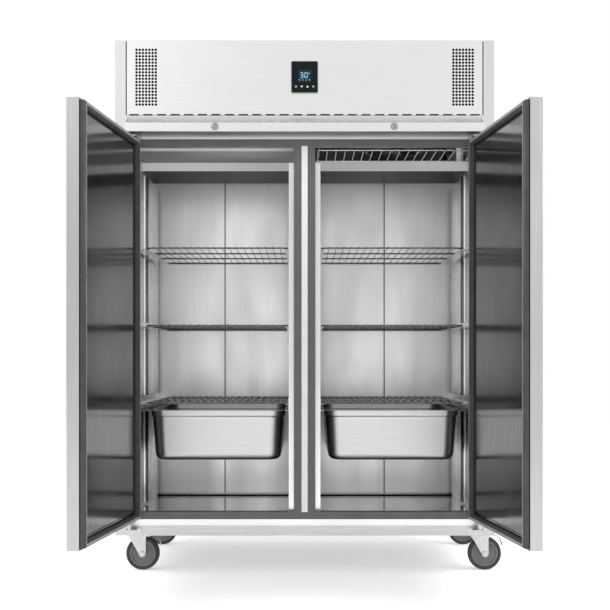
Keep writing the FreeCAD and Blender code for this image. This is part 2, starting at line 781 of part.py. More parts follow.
def lock_plug():
    """Turning plug with its keyway, and the cam that it turns down behind the door's top edge."""
    nose = -canopy_reach
    plug = rod((lock_x, nose - 3, lock_z), (lock_x, barrel_back + 4.6, lock_z), plug_radius)
    keyway = box(lock_x - 1.2, lock_x + 1.2, nose - 4, nose + 8, lock_z - 4, lock_z + 4)
    cam_front = barrel_back + 0.6
    cam = box(lock_x - cam_reach, lock_x + cam_width / 2, cam_front, cam_front + cam_thickness,
              lock_z - cam_width / 2, lock_z + cam_width / 2)
    return fuse([plug.cut(keyway), cam])


def hinge_bracket(leaf_bottom, plate_bottom, plate_top, pin, shoulder, front):
    """Bracket plate on the casing with a leaf under or over the door, and its shouldered pin."""
    plate = box(hinge_x - 41, hinge_x + 14, front - hinge_leaf, front, plate_bottom, plate_top)
    leaf = box(hinge_x - 24, hinge_x + 14, hinge_y - 14, front, leaf_bottom, leaf_bottom + hinge_leaf)
    pin_rod = rod((hinge_x, hinge_y, pin[0]), (hinge_x, hinge_y, pin[1]), pin_radius)
    collar = rod((hinge_x, hinge_y, shoulder[0]), (hinge_x, hinge_y, shoulder[1]), bush_radius)
    return fuse([plate, leaf, pin_rod, collar])


def door_hardware():
    pin_grip = bush_length - 4
    lower = hinge_bracket(lower_leaf_top - hinge_leaf, casing_bottom - apron_drop + 3, lower_leaf_top,
                          (lower_leaf_top, door_bottom + pin_grip), (lower_leaf_top, door_bottom - 0.5),
                          -fascia_sheet)
    upper = hinge_bracket(upper_leaf_bottom, upper_leaf_bottom, canopy_nose_top - 6,
                          (door_top - pin_grip, upper_leaf_bottom + hinge_leaf),
                          (door_top + 0.5, upper_leaf_bottom), 0)
    return group(both_sides([lower, upper, lock_barrel()]))


# ---- Doors, built closed on the right ----
def door_block(inset):
    return box(door_meeting_gap + inset, pillar_inner - inset, -door_outer + inset, -door_inner - inset,
               door_bottom + inset, door_top - inset)


def handle_x():
    return door_meeting_gap + handle_edge


def handle_recess(grow):
    low = handle_middle - handle_height / 2
    return box(handle_x() - grow, handle_x() + handle_width + grow, -door_outer - 1,
               -door_outer + handle_depth + grow, low - grow, low + handle_height + grow)


def bush_space(radius):
    low = rod((hinge_x, hinge_y, door_bottom), (hinge_x, hinge_y, door_bottom + bush_length), radius)
    high = rod((hinge_x, hinge_y, door_top - bush_length), (hinge_x, hinge_y, door_top), radius)
    return [low, high]


def cam_slot(grow):
    return box(lock_x - strike_half - grow, lock_x + strike_half + grow, barrel_back - 3 - grow,
               barrel_back + 7 + grow, door_top - strike_drop - grow, door_top + 1)


def door_skin():
    """Outer pan of the door with folded edges, hinge bushes and the strike box for the cam."""
    pan = door_block(0).cut(box(door_meeting_gap + skin, pillar_inner - skin, -door_outer + skin, 0,
                                door_bottom + skin, door_top - skin))
    return fuse([pan] + bush_space(bush_radius) + [cam_slot(skin)]).cut(
        group([handle_recess(0), cam_slot(0), box(-2000, 2000, -200, 0, door_top, door_top + 50)]
              + bush_space(pin_radius + running_gap)))


def door_inner_panel():
    """Inner sheet with a raised pad inside the gasket."""
    sheet = box(door_meeting_gap + skin, pillar_inner - skin, -door_inner - skin, -door_inner,
                door_bottom + skin, door_top - skin)
    return fuse([sheet, raised_pad(0)]).cut(raised_pad(skin))


def raised_pad(inset):
    edge = gasket_inset + gasket_width + pad_margin + inset
    block = tapered_block(door_meeting_gap + edge, pillar_inner - edge, 0, pad_rise, door_bottom + edge,
                          door_top - edge, pad_rise)
    block = block.mirror(Vector(0, pad_rise / 2, 0), Vector(0, 1, 0))
    block.translate(Vector(0, -door_inner - inset, 0))
    return block


def door_foam():
    core = box(door_meeting_gap + skin, pillar_inner - skin, -door_outer + skin, -door_inner - skin,
               door_bottom + skin, door_top - skin)
    return core.fuse(raised_pad(skin)).cut(
        group([handle_recess(handle_wall), cam_slot(skin)] + bush_space(bush_radius))).removeSplitter()


def door_gasket():
    """Bellows gasket: a ring whose face narrows towards the casing, so its edge clears as it swings."""
    x0 = door_meeting_gap + gasket_inset
    x1 = pillar_inner - gasket_inset
    z0 = door_bottom + gasket_inset
    z1 = door_top - gasket_inset
    nose_height = gasket_height - gasket_base
    base = box(x0, x1, -door_inner, -door_inner + gasket_base, z0, z1)
    nose = tapered_block(x0, x1, 0, nose_height, z0, z1, gasket_taper)
    nose = nose.mirror(Vector(0, nose_height / 2, 0), Vector(0, 1, 0))
    nose.translate(Vector(0, -door_inner + gasket_base, 0))
    hole = box(x0 + gasket_width, x1 - gasket_width, -door_inner - 1, 0, z0 + gasket_width, z1 - gasket_width)
    return base.fuse(nose).cut(hole).removeSplitter()


def door_handle():
    """Moulded cup for the fingers, sunk in the outer face behind a thin flange."""
    x0 = handle_x()
    x1 = x0 + handle_width
    low = handle_middle - handle_height / 2
    high = low + handle_height
    shell = box(x0, x1, -door_outer, -door_outer + handle_depth + handle_wall, low, high)
    flange = box(x0 - handle_flange, x1 + handle_flange, -door_outer - handle_proud, -door_outer,
                 low - handle_flange, high + handle_flange)
    hollow = box(x0 + handle_wall, x1 - handle_wall, -door_outer - 5, -door_outer + handle_depth,
                 low + handle_wall, high - handle_wall)
    return fuse([shell, flange]).cut(hollow)


def opened(shape, side):
    """Turns a piece of the closed right door to the rest angle, and mirrors it for the left door."""
    turned = shape.copy()
    turned.rotate(Vector(hinge_x, hinge_y, 0), Vector(0, 0, 1), door_rest_angle)
    return turned if side > 0 else mirrored(turned)


# ---- Shelving ----
def wall_upright(front, face, back_x):
    """Channel with its slotted face towards the compartment, on a solid foot."""
    low, high = sorted((face, back_x))
    rear = front + upright_depth
    body = box(low, high, front, rear, foot_top, upright_top)
    inside = sorted((face + math.copysign(upright_sheet, back_x - face), back_x))
    hollow = box(*inside, front + upright_sheet, rear - upright_sheet, 0, body_top)
    slots = []
    first_slot = foot_top + 20
    for index in range(int((upright_top - first_slot) / upright_slot_pitch)):
        z = first_slot + upright_slot_pitch * index
        slots.append(box(face - 3, face + 3, front + 12, front + 18, z, z + 14))
    foot = box(low, high, front, rear, liner_floor, foot_top)
    return [body.cut(hollow).cut(group(slots)), foot]


def shelf_uprights():
    pieces = []
    for front in (wall_upright_front, rear_upright_front):
        pieces += wall_upright(front, wall_upright_face, liner_x)
    for front in (centre_upright_front, rear_upright_front):
        pieces += wall_upright(front, centre_upright_face, centre_upright_x)
    return group(both_sides(pieces))


def runner(z, face, towards):
    """Angle from the front upright to the rear wall, whose ledge reaches into the compartment."""
    rear = liner_back - 3
    front = shelf_front + 12
    ledge_end = shelf_outer_x - runner_ledge + 1 if towards < 0 else shelf_inner_x + runner_ledge - 1
    side_x = sorted((face, face + towards * upright_sheet))
    upright_side = box(*side_x, front, rear, z - upright_sheet, z + runner_height)
    ledge = box(*sorted((face, ledge_end)), front, rear, z - upright_sheet, z)
    stop = box(*sorted((face, face + towards * runner_ledge)), rear - upright_sheet + 0.5, rear + 0.5,
               z - upright_sheet, z + runner_height)
    return fuse([upright_side, ledge, stop])


def shelf_runners():
    pieces = []
    heights = [z - shelf_rod - rest_gap for z in shelf_heights.values()]
    heights.append(pan_rim_height - rest_gap - pan_sheet)
    for z in heights:
        pieces.append(runner(z, wall_upright_face, -1))
        pieces.append(runner(z, centre_upright_face, 1))
    return group(both_sides(pieces))


def wire_shelf():
    """Round-cornered frame of rod, two cross rods, and wires from front to back on top."""
    x0 = shelf_inner_x + shelf_rod
    x1 = shelf_outer_x - shelf_rod
    y0 = shelf_front + shelf_rod
    y1 = shelf_front + shelf_length - shelf_rod
    frame_path = rounded_rectangle(x0, x1, y0, y1, 0, shelf_corner)
    first = frame_path.Edges[0]
    section = Part.Wire(Part.makeCircle(shelf_rod, first.Vertexes[0].Point,
                                        first.tangentAt(first.FirstParameter)))
    frame = frame_path.makePipeShell([section], True, True)
    pieces = [frame]
    for share in (1 / 3, 2 / 3):
        y = y0 + (y1 - y0) * share
        pieces.append(rod((x0, y, 0), (x1, y, 0), shelf_rod))
    wire_z = shelf_rod + shelf_wire - 0.6
    pitch = (x1 - x0) / (shelf_wire_count + 1)
    for index in range(shelf_wire_count):
        x = x0 + pitch * (index + 1)
        pieces.append(rod((x, y0 - 1, wire_z), (x, y1 + 1, wire_z), shelf_wire))
    return fuse(pieces)


def pan_block(inset, flange):
    """Tapered tub under the rim: an upper band, a shoulder and a body with a round bottom edge."""
    x0 = shelf_inner_x + 1 + flange + inset
    x1 = shelf_outer_x - 1 - flange - inset
    y0 = pan_front + flange + inset
    y1 = pan_front + shelf_length - flange - inset
    rim = pan_rim_height
    shoulder = rim - pan_shoulder_drop
    bottom = rim - pan_depth + inset
    radius = pan_corner - inset
    step_top = shoulder + inset
    band = Part.Face(rounded_rectangle(x0, x1, y0, y1, step_top, radius)).extrude(
        Vector(0, 0, rim - step_top + inset))
    step = pan_shoulder
    top = rounded_rectangle(x0 + step, x1 - step, y0 + step, y1 - step, step_top, radius - step)
    drawn_in = step + pan_lean
    foot = rounded_rectangle(x0 + drawn_in, x1 - drawn_in, y0 + drawn_in, y1 - drawn_in, bottom,
                             radius - step - 4)
    body = Part.makeLoft([top, foot], True, True)
    low_edges = [e for e in body.Edges if e.BoundBox.ZMax < bottom + 0.01]
    body = body.makeFillet(pan_floor_bend - inset, low_edges)
    return band.fuse(body)


def gastronorm_pan():
    rim = pan_rim_height
    x0 = shelf_inner_x + 1
    x1 = shelf_outer_x - 1
    flange = Part.Face(rounded_rectangle(x0, x1, pan_front, pan_front + shelf_length, rim - pan_sheet,
                                         pan_flange_corner))
    flange = flange.extrude(Vector(0, 0, pan_sheet))
    return flange.fuse(pan_block(0, pan_flange)).cut(pan_block(pan_sheet, pan_flange)).removeSplitter()


# ---- Castors, laid out with the swivel axis on X = Y = 0 ----
def castor_head():
    """Top plate, the bearing cup under it, and the kingpin with its button."""
    half = castor_plate / 2
    plate_bottom = castor_height - castor_plate_thickness
    plate = box(-half, half, -half, half, plate_bottom, castor_height)
    cup = Part.makeCylinder(bearing_radius, bearing_height, Vector(0, 0, head_bottom))
    pin_bottom = crown_bottom - 3
    pin = Part.makeCylinder(kingpin_radius, castor_height - pin_bottom, Vector(0, 0, pin_bottom))
    button = Part.makeCylinder(kingpin_radius + 4, 2.7, Vector(0, 0, pin_bottom))
    return fuse([plate, cup, pin, button])


def castor_fork():
    """Crown with two legs that lean back to the axle, and the axle bolt with its head and nut."""
    leg_out = leg_y + fork_sheet
    crown_top = crown_bottom + crown_thickness
    crown_end = castor_trail + 19
    boss_x0 = castor_trail - fork_boss
    boss_x1 = castor_trail + fork_boss
    crown = box(-36, crown_end, -leg_out, leg_out, crown_bottom, crown_top)
    crown = crown.cut(Part.makeCylinder(kingpin_radius + 0.1, 40, Vector(0, 0, crown_bottom - 10)))
    leg_outline = outline([(-31, 0, crown_top), (crown_end, 0, crown_top),
                           (boss_x1, 0, crown_bottom - 22), (boss_x1, 0, wheel_radius),
                           (boss_x0, 0, wheel_radius), (-8, 0, crown_bottom - 26)])
    leg = leg_outline.extrude(Vector(0, fork_sheet, 0))
    leg = leg.fuse(rod((castor_trail, 0, wheel_radius), (castor_trail, fork_sheet, wheel_radius), fork_boss))
    legs = [placed(leg, 0, -leg_out), placed(leg, 0, leg_y)]
    bolt = rod((castor_trail, -leg_out, wheel_radius), (castor_trail, leg_out, wheel_radius), axle_radius)
    heads = [rod((castor_trail, y, wheel_radius), (castor_trail, y + 4, wheel_radius), axle_radius + 4)
             for y in (-leg_out - 4, leg_out)]
    return fuse([crown, bolt] + legs + heads)


def revolved(points):
    """Solid of revolution about Y from an outline of (radius, y) points."""
    face = outline([(radius, y, 0) for radius, y in points])
    return face.revolve(Vector(0, 0, 0), Vector(0, 1, 0), 360)


def castor_wheel():
    """Plastic hub with a dished web, and the rubber tyre bonded on its rim."""
    half = wheel_width / 2
    bore = axle_radius + running_gap
    rim = wheel_radius - 13
    hub = revolved([(bore, -half - 3), (17, -half - 3), (19, -half + 5), (rim - 7, -half + 7),
                    (rim - 4, -half + 2), (rim, -half + 2), (rim, half - 2), (rim - 4, half - 2),
                    (rim - 7, half - 7), (19, half - 5), (17, half + 3), (bore, half + 3)])
    crown = 5.0
    tyre = revolved([(rim, -half + 2), (rim, half - 2), (rim + 2, half), (wheel_radius - crown, half),
                     (wheel_radius - 1, half - crown), (wheel_radius, half - crown - 3),
                     (wheel_radius, crown + 3 - half), (wheel_radius - 1, crown - half),
                     (wheel_radius - crown, -half), (rim + 2, -half)])
    wheel = group([hub, tyre])
    wheel.translate(Vector(castor_trail, 0, wheel_radius))
    return wheel


def brake_pedal():
    """Bent pedal on a cross pin at the back of the fork."""
    half = pedal_half_width
    blade = outline([(pedal_x - 4, -half, pedal_z + 2), (pedal_x + 18, -half, pedal_z - 6),
                     (pedal_x + 34, -half, pedal_z - 24), (pedal_x + 39, -half, pedal_z - 42),
                     (pedal_x + 36, -half, pedal_z - 42), (pedal_x + 31, -half, pedal_z - 26),
                     (pedal_x + 16, -half, pedal_z - 9), (pedal_x - 4, -half, pedal_z - 2)])
    blade = blade.extrude(Vector(0, 2 * half, 0))
    knuckle = rod((pedal_x, -half, pedal_z), (pedal_x, half, pedal_z), 4.5)
    bore = rod((pedal_x, -half - 5, pedal_z), (pedal_x, half + 5, pedal_z), pedal_pin_radius + running_gap)
    return fuse([blade, knuckle]).cut(bore)


def braked_fork():
    """Fork with two ears and the pin that the pedal turns on."""
    leg_out = leg_y + fork_sheet
    crown_top = crown_bottom + crown_thickness
    ear_x0 = castor_trail + fork_boss + 1
    ear_x1 = pedal_x + 7
    ear_outline = outline([(ear_x0, 0, crown_top), (ear_x1, 0, crown_top), (ear_x1, 0, pedal_z - 5),
                           (ear_x0, 0, pedal_z - 5)])
    ear = ear_outline.extrude(Vector(0, fork_sheet, 0))
    pin = rod((pedal_x, -leg_out, pedal_z), (pedal_x, leg_out, pedal_z), pedal_pin_radius)
    return fuse([castor_fork(), pin, placed(ear, 0, -leg_out), placed(ear, 0, leg_y)])


castor_places = {
    "front_left": (-castor_x, castor_front), "front_right": (castor_x, castor_front),
    "rear_left": (-castor_x, castor_rear), "rear_right": (castor_x, castor_rear)}


def fasteners():
    """Screws of the plinth, the castor plates and the machine compartment's lid."""
    screws = []
    screw_radius = 4.0
    bolt_radius = 6.0
    bolt_spread = 34.0
    plinth_z = castor_height - apron_drop + apron_height - 8
    plate_bottom = castor_height - castor_plate_thickness
    for x in (-520, -132, 132, 520):
        screws.append(rod((x, -fascia_sheet - 1.6, plinth_z), (x, -fascia_sheet, plinth_z), screw_radius))
    for x, y in castor_places.values():
        for bolt_x in (x - bolt_spread, x + bolt_spread):
            for bolt_y in (y - bolt_spread, y + bolt_spread):
                screws.append(rod((bolt_x, bolt_y, plate_bottom - 5), (bolt_x, bolt_y, plate_bottom),
                                  bolt_radius))
    for x in (-600, -200, 200, 600):
        screws.append(rod((x, 80, body_top - 1.1), (x, 80, body_top), screw_radius))
    return group(screws)


def all_nodes():
    nodes = {
        "side_panels": side_panels(), "back_panel": back_panel(), "base_panel": base_panel(),
        "front_apron": front_apron(), "machine_deck": machine_deck(), "top_cover": top_cover(),
        "insulation_foam": insulation_foam(), "inner_liner": inner_liner(), "front_frame": front_frame(),
        "breaker_strips": breaker_strips(), "mullion_trim": mullion_trim(),
        "ceiling_covers": ceiling_covers(), "ceiling_wire_guard": ceiling_wire_guard(),
        "evaporator_unit": evaporator_unit(), "evaporator_fan": evaporator_fan(),
        "fascia_panel": fascia_panel(), "lock_canopy": lock_canopy(),
        "controller_bezel": controller_bezel(), "controller_display": controller_display(),
        "compressor": compressor(), "condenser_unit": condenser_unit(), "condenser_fan": condenser_fan(),
        "refrigerant_pipes": refrigerant_pipes(), "electrical_box": electrical_box(),
        "mains_gland": mains_gland(), "door_hardware": door_hardware(),
        "shelf_uprights": shelf_uprights(), "shelf_runners": shelf_runners(), "fasteners": fasteners()}
    nodes["castor_heads"] = group([placed(castor_head(), x, y) for x, y in castor_places.values()])
    door_pieces = {"skin": door_skin(), "inner_panel": door_inner_panel(), "foam": door_foam(),
                   "gasket": door_gasket(), "handle": door_handle()}
    shelf = wire_shelf()
    pan = gastronorm_pan()
    plug = lock_plug()
    for side, word in ((-1, "left"), (1, "right")):
        for piece, shape in door_pieces.items():
            nodes["door_" + word + "_" + piece] = opened(shape, side)
        for level, z in shelf_heights.items():
            moved = placed(shelf, 0, 0, z)
            nodes["shelf_" + word + "_" + level] = moved if side > 0 else mirrored(moved)
        nodes["pan_" + word] = pan if side > 0 else mirrored(pan)
        nodes["key_lock_" + word] = plug if side > 0 else mirrored(plug)
    for place, (x, y) in castor_places.items():
        fork = braked_fork() if place.startswith("front") else castor_fork()
        nodes["castor_fork_" + place] = placed(fork, x, y)
        nodes["castor_wheel_" + place] = placed(castor_wheel(), x, y)
        if place.startswith("front"):
            nodes["brake_pedal_" + place] = placed(brake_pedal(), x, y)
    return nodes


def door_reach():
    """How far the open door's free edge stands in front of the casing's front plane."""
    free = hinge_x - door_meeting_gap
    angle = math.radians(door_rest_angle)
    return -hinge_y + free * math.sin(angle) - hinge_inset * math.cos(angle)


os.makedirs("parts", exist_ok=True)
front_plane = (door_reach() - body_depth - gland_head - gland_dome) / 2
for name, shape in all_nodes().items():
    moved = placed(shape, 0, front_plane)
    moved.exportStep("parts/" + name + ".step")
    print(name, len(moved.Solids), "solids", round(moved.Volume / 1000), "cm3", moved.isValid())
print("front plane at Y", round(front_plane, 3))
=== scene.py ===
import json
import math

import bmesh
import bpy
import numpy as np
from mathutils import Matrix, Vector


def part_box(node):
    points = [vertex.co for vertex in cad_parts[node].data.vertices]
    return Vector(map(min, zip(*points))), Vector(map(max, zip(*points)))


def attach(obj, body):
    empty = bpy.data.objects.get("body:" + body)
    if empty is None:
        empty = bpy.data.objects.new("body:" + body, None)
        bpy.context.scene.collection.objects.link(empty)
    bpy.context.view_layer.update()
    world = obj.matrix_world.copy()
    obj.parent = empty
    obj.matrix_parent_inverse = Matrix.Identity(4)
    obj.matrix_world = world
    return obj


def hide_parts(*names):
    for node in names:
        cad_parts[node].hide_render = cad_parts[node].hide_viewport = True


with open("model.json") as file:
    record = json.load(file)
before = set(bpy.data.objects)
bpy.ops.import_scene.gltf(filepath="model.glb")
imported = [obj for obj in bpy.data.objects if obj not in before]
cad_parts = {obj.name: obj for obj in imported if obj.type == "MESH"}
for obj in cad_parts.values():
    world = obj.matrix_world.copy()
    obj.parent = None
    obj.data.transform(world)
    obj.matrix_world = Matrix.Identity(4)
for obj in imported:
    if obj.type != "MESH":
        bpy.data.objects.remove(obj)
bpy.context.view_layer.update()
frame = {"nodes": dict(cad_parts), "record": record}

# A stainless reach-in refrigerator with both doors open, dressed over its CAD frame.
# Sizes are in metres; a value whose name ends in Mm is in millimetres.
mm = 0.001


def linearColour(hexText):  # sRGB hex to linear RGBA, by the usual two-part curve
    channels = [int(hexText[i:i + 2], 16) / 255 for i in (1, 3, 5)]
    return [c / 12.92 if c <= 0.04045 else ((c + 0.055) / 1.055) ** 2.4 for c in channels] + [1.0]


def addNode(tree, kind, settings=None, links=None):  # one node, its values and what feeds it
    node = tree.nodes.new(kind)
    for name, value in (settings or {}).items():
        if isinstance(name, int) or name in node.inputs.keys():
            node.inputs[name].default_value = value
        else:
            setattr(node, name, value)
    for name, socket in (links or {}).items():
        tree.links.new(socket, node.inputs[name])
    return node


def newFinish(name):  # an empty material: its tree, and the object coordinates that patterns read
    material = bpy.data.materials.new(name)
    material.use_nodes = True
    tree = material.node_tree
    tree.nodes.clear()
    coords = addNode(tree, "ShaderNodeTexCoord").outputs["Object"]
    return material, tree, coords


def speckle(tree, coords, sizeMm, detail=3.0, rough=0.55):  # noise whose blotches have this size per axis
    spread = addNode(tree, "ShaderNodeMapping", {"Scale": [1000.0 / s for s in sizeMm]}, {"Vector": coords})
    noise = addNode(tree, "ShaderNodeTexNoise", {"Scale": 1.0, "Detail": detail, "Roughness": rough},
                    {"Vector": spread.outputs[0]})
    return noise.outputs["Fac"]


def between(tree, factor, low, high, fromLow=0.3, fromHigh=0.7):  # a number that runs from low to high
    return addNode(tree, "ShaderNodeMapRange",
                   {"From Min": fromLow, "From Max": fromHigh, "To Min": low, "To Max": high},
                   {"Value": factor}).outputs[0]


def blendColours(tree, factor, first, second):  # two colours, given as hex or as a socket
    settings, links = {"data_type": "RGBA"}, {0: factor}
    for index, colour in ((6, first), (7, second)):
        if isinstance(colour, str):
            settings[index] = linearColour(colour)
        else:
            links[index] = colour
    node = addNode(tree, "ShaderNodeMix", {"data_type": "RGBA"}, links)
    for index, value in settings.items():
        if index != "data_type":
            node.inputs[index].default_value = value
    return node.outputs[2]


def closeFinish(tree, constants, links, height=None, depthMm=0.05, strength=1.0):  # shader, bump and output
    if height is not None:
        bump = addNode(tree, "ShaderNodeBump", {"Strength": strength, "Distance": depthMm * mm},
                       {"Height": height})
        links = {**links, "Normal": bump.outputs[0]}
    shader = addNode(tree, "ShaderNodeBsdfPrincipled", constants, links)
    addNode(tree, "ShaderNodeOutputMaterial", None, {"Surface": shader.outputs[0]})


def brushedSteel(name, tone, streak, roughness, spread, grainMm, depthMm, strength=0.35):
    # Stainless sheet, belt-ground: long fine streaks of brighter and duller metal along the grain,
    # a few deeper scratches, and wide soft patches where hands and cloths have dulled it.
    material, tree, coords = newFinish(name)
    grain = speckle(tree, coords, grainMm, 4.0, 0.6)
    patches = speckle(tree, coords, (210, 210, 160), 2.0, 0.5)
    scratchMm = [s * 0.55 for s in grainMm]
    scratches = between(tree, speckle(tree, coords, scratchMm, 1.0, 0.4), 0.0, 1.0, 0.70, 0.78)
    base = blendColours(tree, between(tree, grain, 0.0, 1.0), streak, tone)
    worn = blendColours(tree, between(tree, patches, 0.0, 0.35), base, streak)
    colour = blendColours(tree, scratches, worn, "#f4f4f2")
    mixed = addNode(tree, "ShaderNodeMath", {"operation": "MULTIPLY_ADD", 1: 0.55}, {0: grain, 2: patches})
    rough = between(tree, mixed.outputs[0], roughness - spread, roughness + spread, 0.5, 1.05)
    closeFinish(tree, {"Metallic": 1.0}, {"Base Color": colour, "Roughness": rough}, grain, depthMm, strength)
    return material


def mouldedPlastic(name, tone, shade, roughness, ior, grainMm, depthMm=0.03, coat=0.0, shine=0.5):
    # Injection-moulded plastic: even colour with a faint cloudiness, a fine spark-eroded grain,
    # and slightly shinier places where it has been wiped.
    material, tree, coords = newFinish(name)
    cloud = speckle(tree, coords, (60, 60, 60), 3.0)
    grain = speckle(tree, coords, (grainMm, grainMm, grainMm), 2.0)
    colour = blendColours(tree, between(tree, cloud, 0.0, 1.0), tone, shade)
    rough = between(tree, cloud, roughness - 0.06, roughness + 0.06)
    constants = {"IOR": ior, "Coat Weight": coat, "Coat Roughness": 0.08, "Specular IOR Level": shine}
    closeFinish(tree, constants, {"Base Color": colour, "Roughness": rough}, grain, depthMm, 0.5)
    return material


def platedSteel(name, tone, shade, roughness, flowerMm, depthMm=0.02):
    # Zinc-coated steel: crystal flowers or dull plated blotches, each cell its own grey, metal all through.
    material, tree, coords = newFinish(name)
    cells = addNode(tree, "ShaderNodeTexVoronoi", {"Scale": 1000.0 / flowerMm}, {"Vector": coords})
    cellGrey = addNode(tree, "ShaderNodeRGBToBW", None, {"Color": cells.outputs["Color"]}).outputs[0]
    haze = speckle(tree, coords, (35, 35, 35), 3.0)
    colour = blendColours(tree, between(tree, cellGrey, 0.0, 1.0, 0.1, 0.9), tone, shade)
    rough = between(tree, haze, roughness - 0.08, roughness + 0.1)
    closeFinish(tree, {"Metallic": 1.0}, {"Base Color": colour, "Roughness": rough}, cellGrey, depthMm, 0.4)
    return material


def linerSteel(name):
    # Tank lining, 304 sheet with a 2R finish: bright and a little wavy, so the walls give soft upright
    # reflections;
    # the floor keeps its film-bright face, mirrors what stands on it and is painted a darker grey as painted
    # shade.
    material, tree, coords = newFinish(name)
    grain = speckle(tree, coords, (1.6, 1.6, 420), 4.0, 0.6)  # upright grain, drawn at 1.6 mm so it shows
    patches = speckle(tree, coords, (150, 150, 420), 2.0)
    up = addNode(tree, "ShaderNodeSeparateXYZ", None,
                 {0: addNode(tree, "ShaderNodeNewGeometry").outputs["True Normal"]}).outputs["Z"]
    level = addNode(tree, "ShaderNodeMath", {"operation": "GREATER_THAN", 1: 0.9}, {0: up}).outputs[0]
    wallTone = blendColours(tree, between(tree, grain, 0.0, 1.0), "#e6e6e6", "#f6f6f6")
    worn = blendColours(tree, between(tree, patches, 0.0, 0.6), wallTone, "#d8d8d8")
    # painted shade: up-facing floor faces are given a darker grey than the walls
    colour = blendColours(tree, level, worn, "#cdcdcd")
    wallRough = between(tree, patches, 0.30, 0.42)
    floorRough = between(tree, patches, 0.10, 0.16)
    rough = addNode(tree, "ShaderNodeMix", None, {0: level, 2: wallRough, 3: floorRough}).outputs[0]
    closeFinish(tree, {"Metallic": 1.0}, {"Base Color": colour, "Roughness": rough}, grain, 0.04, 0.3)
    return material


def coverSteel(name):
    # Evaporator cover, brushed sheet: its front lip is lacquered pale grey and scatters light. Faces turned
    # down below 1.56 m are painted near-black as painted shade, and those higher up a paler satin grey.
    material, tree, coords = newFinish(name)
    grain = speckle(tree, coords, (420, 1.5, 1.5), 4.0, 0.6)
    height = addNode(tree, "ShaderNodeSeparateXYZ", None, {0: coords}).outputs["Z"]
    plate = addNode(tree, "ShaderNodeMath", {"operation": "GREATER_THAN", 1: 1.56}, {0: height}).outputs[0]
    down = addNode(tree, "ShaderNodeSeparateXYZ", None,
                   {0: addNode(tree, "ShaderNodeNewGeometry").outputs["True Normal"]}).outputs["Z"]
    under = addNode(tree, "ShaderNodeMath", {"operation": "LESS_THAN", 1: -0.9}, {0: down}).outputs[0]
    bright = blendColours(tree, between(tree, grain, 0.0, 1.0), "#f2f2f2", "#fafafa")
    # painted shade: down-facing faces are near-black below 1.56 m and paler grey above
    shadedUnderside = blendColours(tree, plate, blendColours(tree, between(tree, grain, 0.0, 1.0), "#383838", "#464646"),
                        "#cacaca")
    rough = addNode(tree, "ShaderNodeMix", None, {0: under, 2: between(tree, grain, 0.5, 0.6),
                                                  3: between(tree, grain, 0.26, 0.34)}).outputs[0]
    closeFinish(tree, {"Specular Tint": linearColour("#acacac")},
                {"Base Color": blendColours(tree, under, bright, shadedUnderside), "Roughness": rough,
                 "Metallic": under},
                grain, 0.03, 0.3)
    return material


def panSteel(name):
    # Deep-drawn 304 sheet, belt-polished: bright on its flat walls; faces turned sideways, round the upright
    # corners and down the ends, are painted darker as painted shade.
    material, tree, coords = newFinish(name)
    grain = speckle(tree, coords, (90, 90, 1.4), 4.0, 0.6)
    sideways = addNode(tree, "ShaderNodeSeparateXYZ", None,
                       {0: addNode(tree, "ShaderNodeNewGeometry").outputs["Normal"]}).outputs["X"]
    turned = addNode(tree, "ShaderNodeMath", {"operation": "ABSOLUTE"}, {0: sideways}).outputs[0]
    # painted shade: the more a face turns sideways, the darker grey it is given
    paintedSideShade = between(tree, turned, 0.0, 0.85, 0.06, 0.55)
    flat = blendColours(tree, between(tree, grain, 0.0, 1.0), "#b6b6b6", "#c6c6c6")
    colour = blendColours(tree, paintedSideShade, flat, "#5a5a5a")
    closeFinish(tree, {"Metallic": 1.0}, {"Base Color": colour,
                                          "Roughness": between(tree, grain, 0.30, 0.38)},
                grain, 0.03, 0.3)
    return material


def foamFinish(name):
    # Cut polyurethane foam: pale yellow, matt, with open bubbles about 1.5 mm across.
    material, tree, coords = newFinish(name)
    bubbles = addNode(tree, "ShaderNodeTexVoronoi", {"Scale": 1000.0 / 1.5},
                      {"Vector": coords}).outputs["Distance"]
    cloud = speckle(tree, coords, (40, 40, 40))
    colour = blendColours(tree, between(tree, cloud, 0.0, 1.0), "#e6d79a", "#d8c47e")
    closeFinish(tree, {"Roughness": 0.9, "IOR": 1.5}, {"Base Color": colour}, bubbles, 0.4, 0.8)
    return material


def litDisplay(name, tone, strength):
    # Segments of a light-emitting display behind smoked acrylic: even glow with a fine flicker of tone.
    material, tree, coords = newFinish(name)
    flicker = speckle(tree, coords, (1.5, 1.5, 1.5))
    colour = blendColours(tree, between(tree, flicker, 0.0, 1.0), tone, "#6f8f96")
    closeFinish(tree, {"Roughness": 0.35, "IOR": 1.49, "Emission Strength": strength},
                {"Base Color": colour, "Emission Color": colour})
    return material


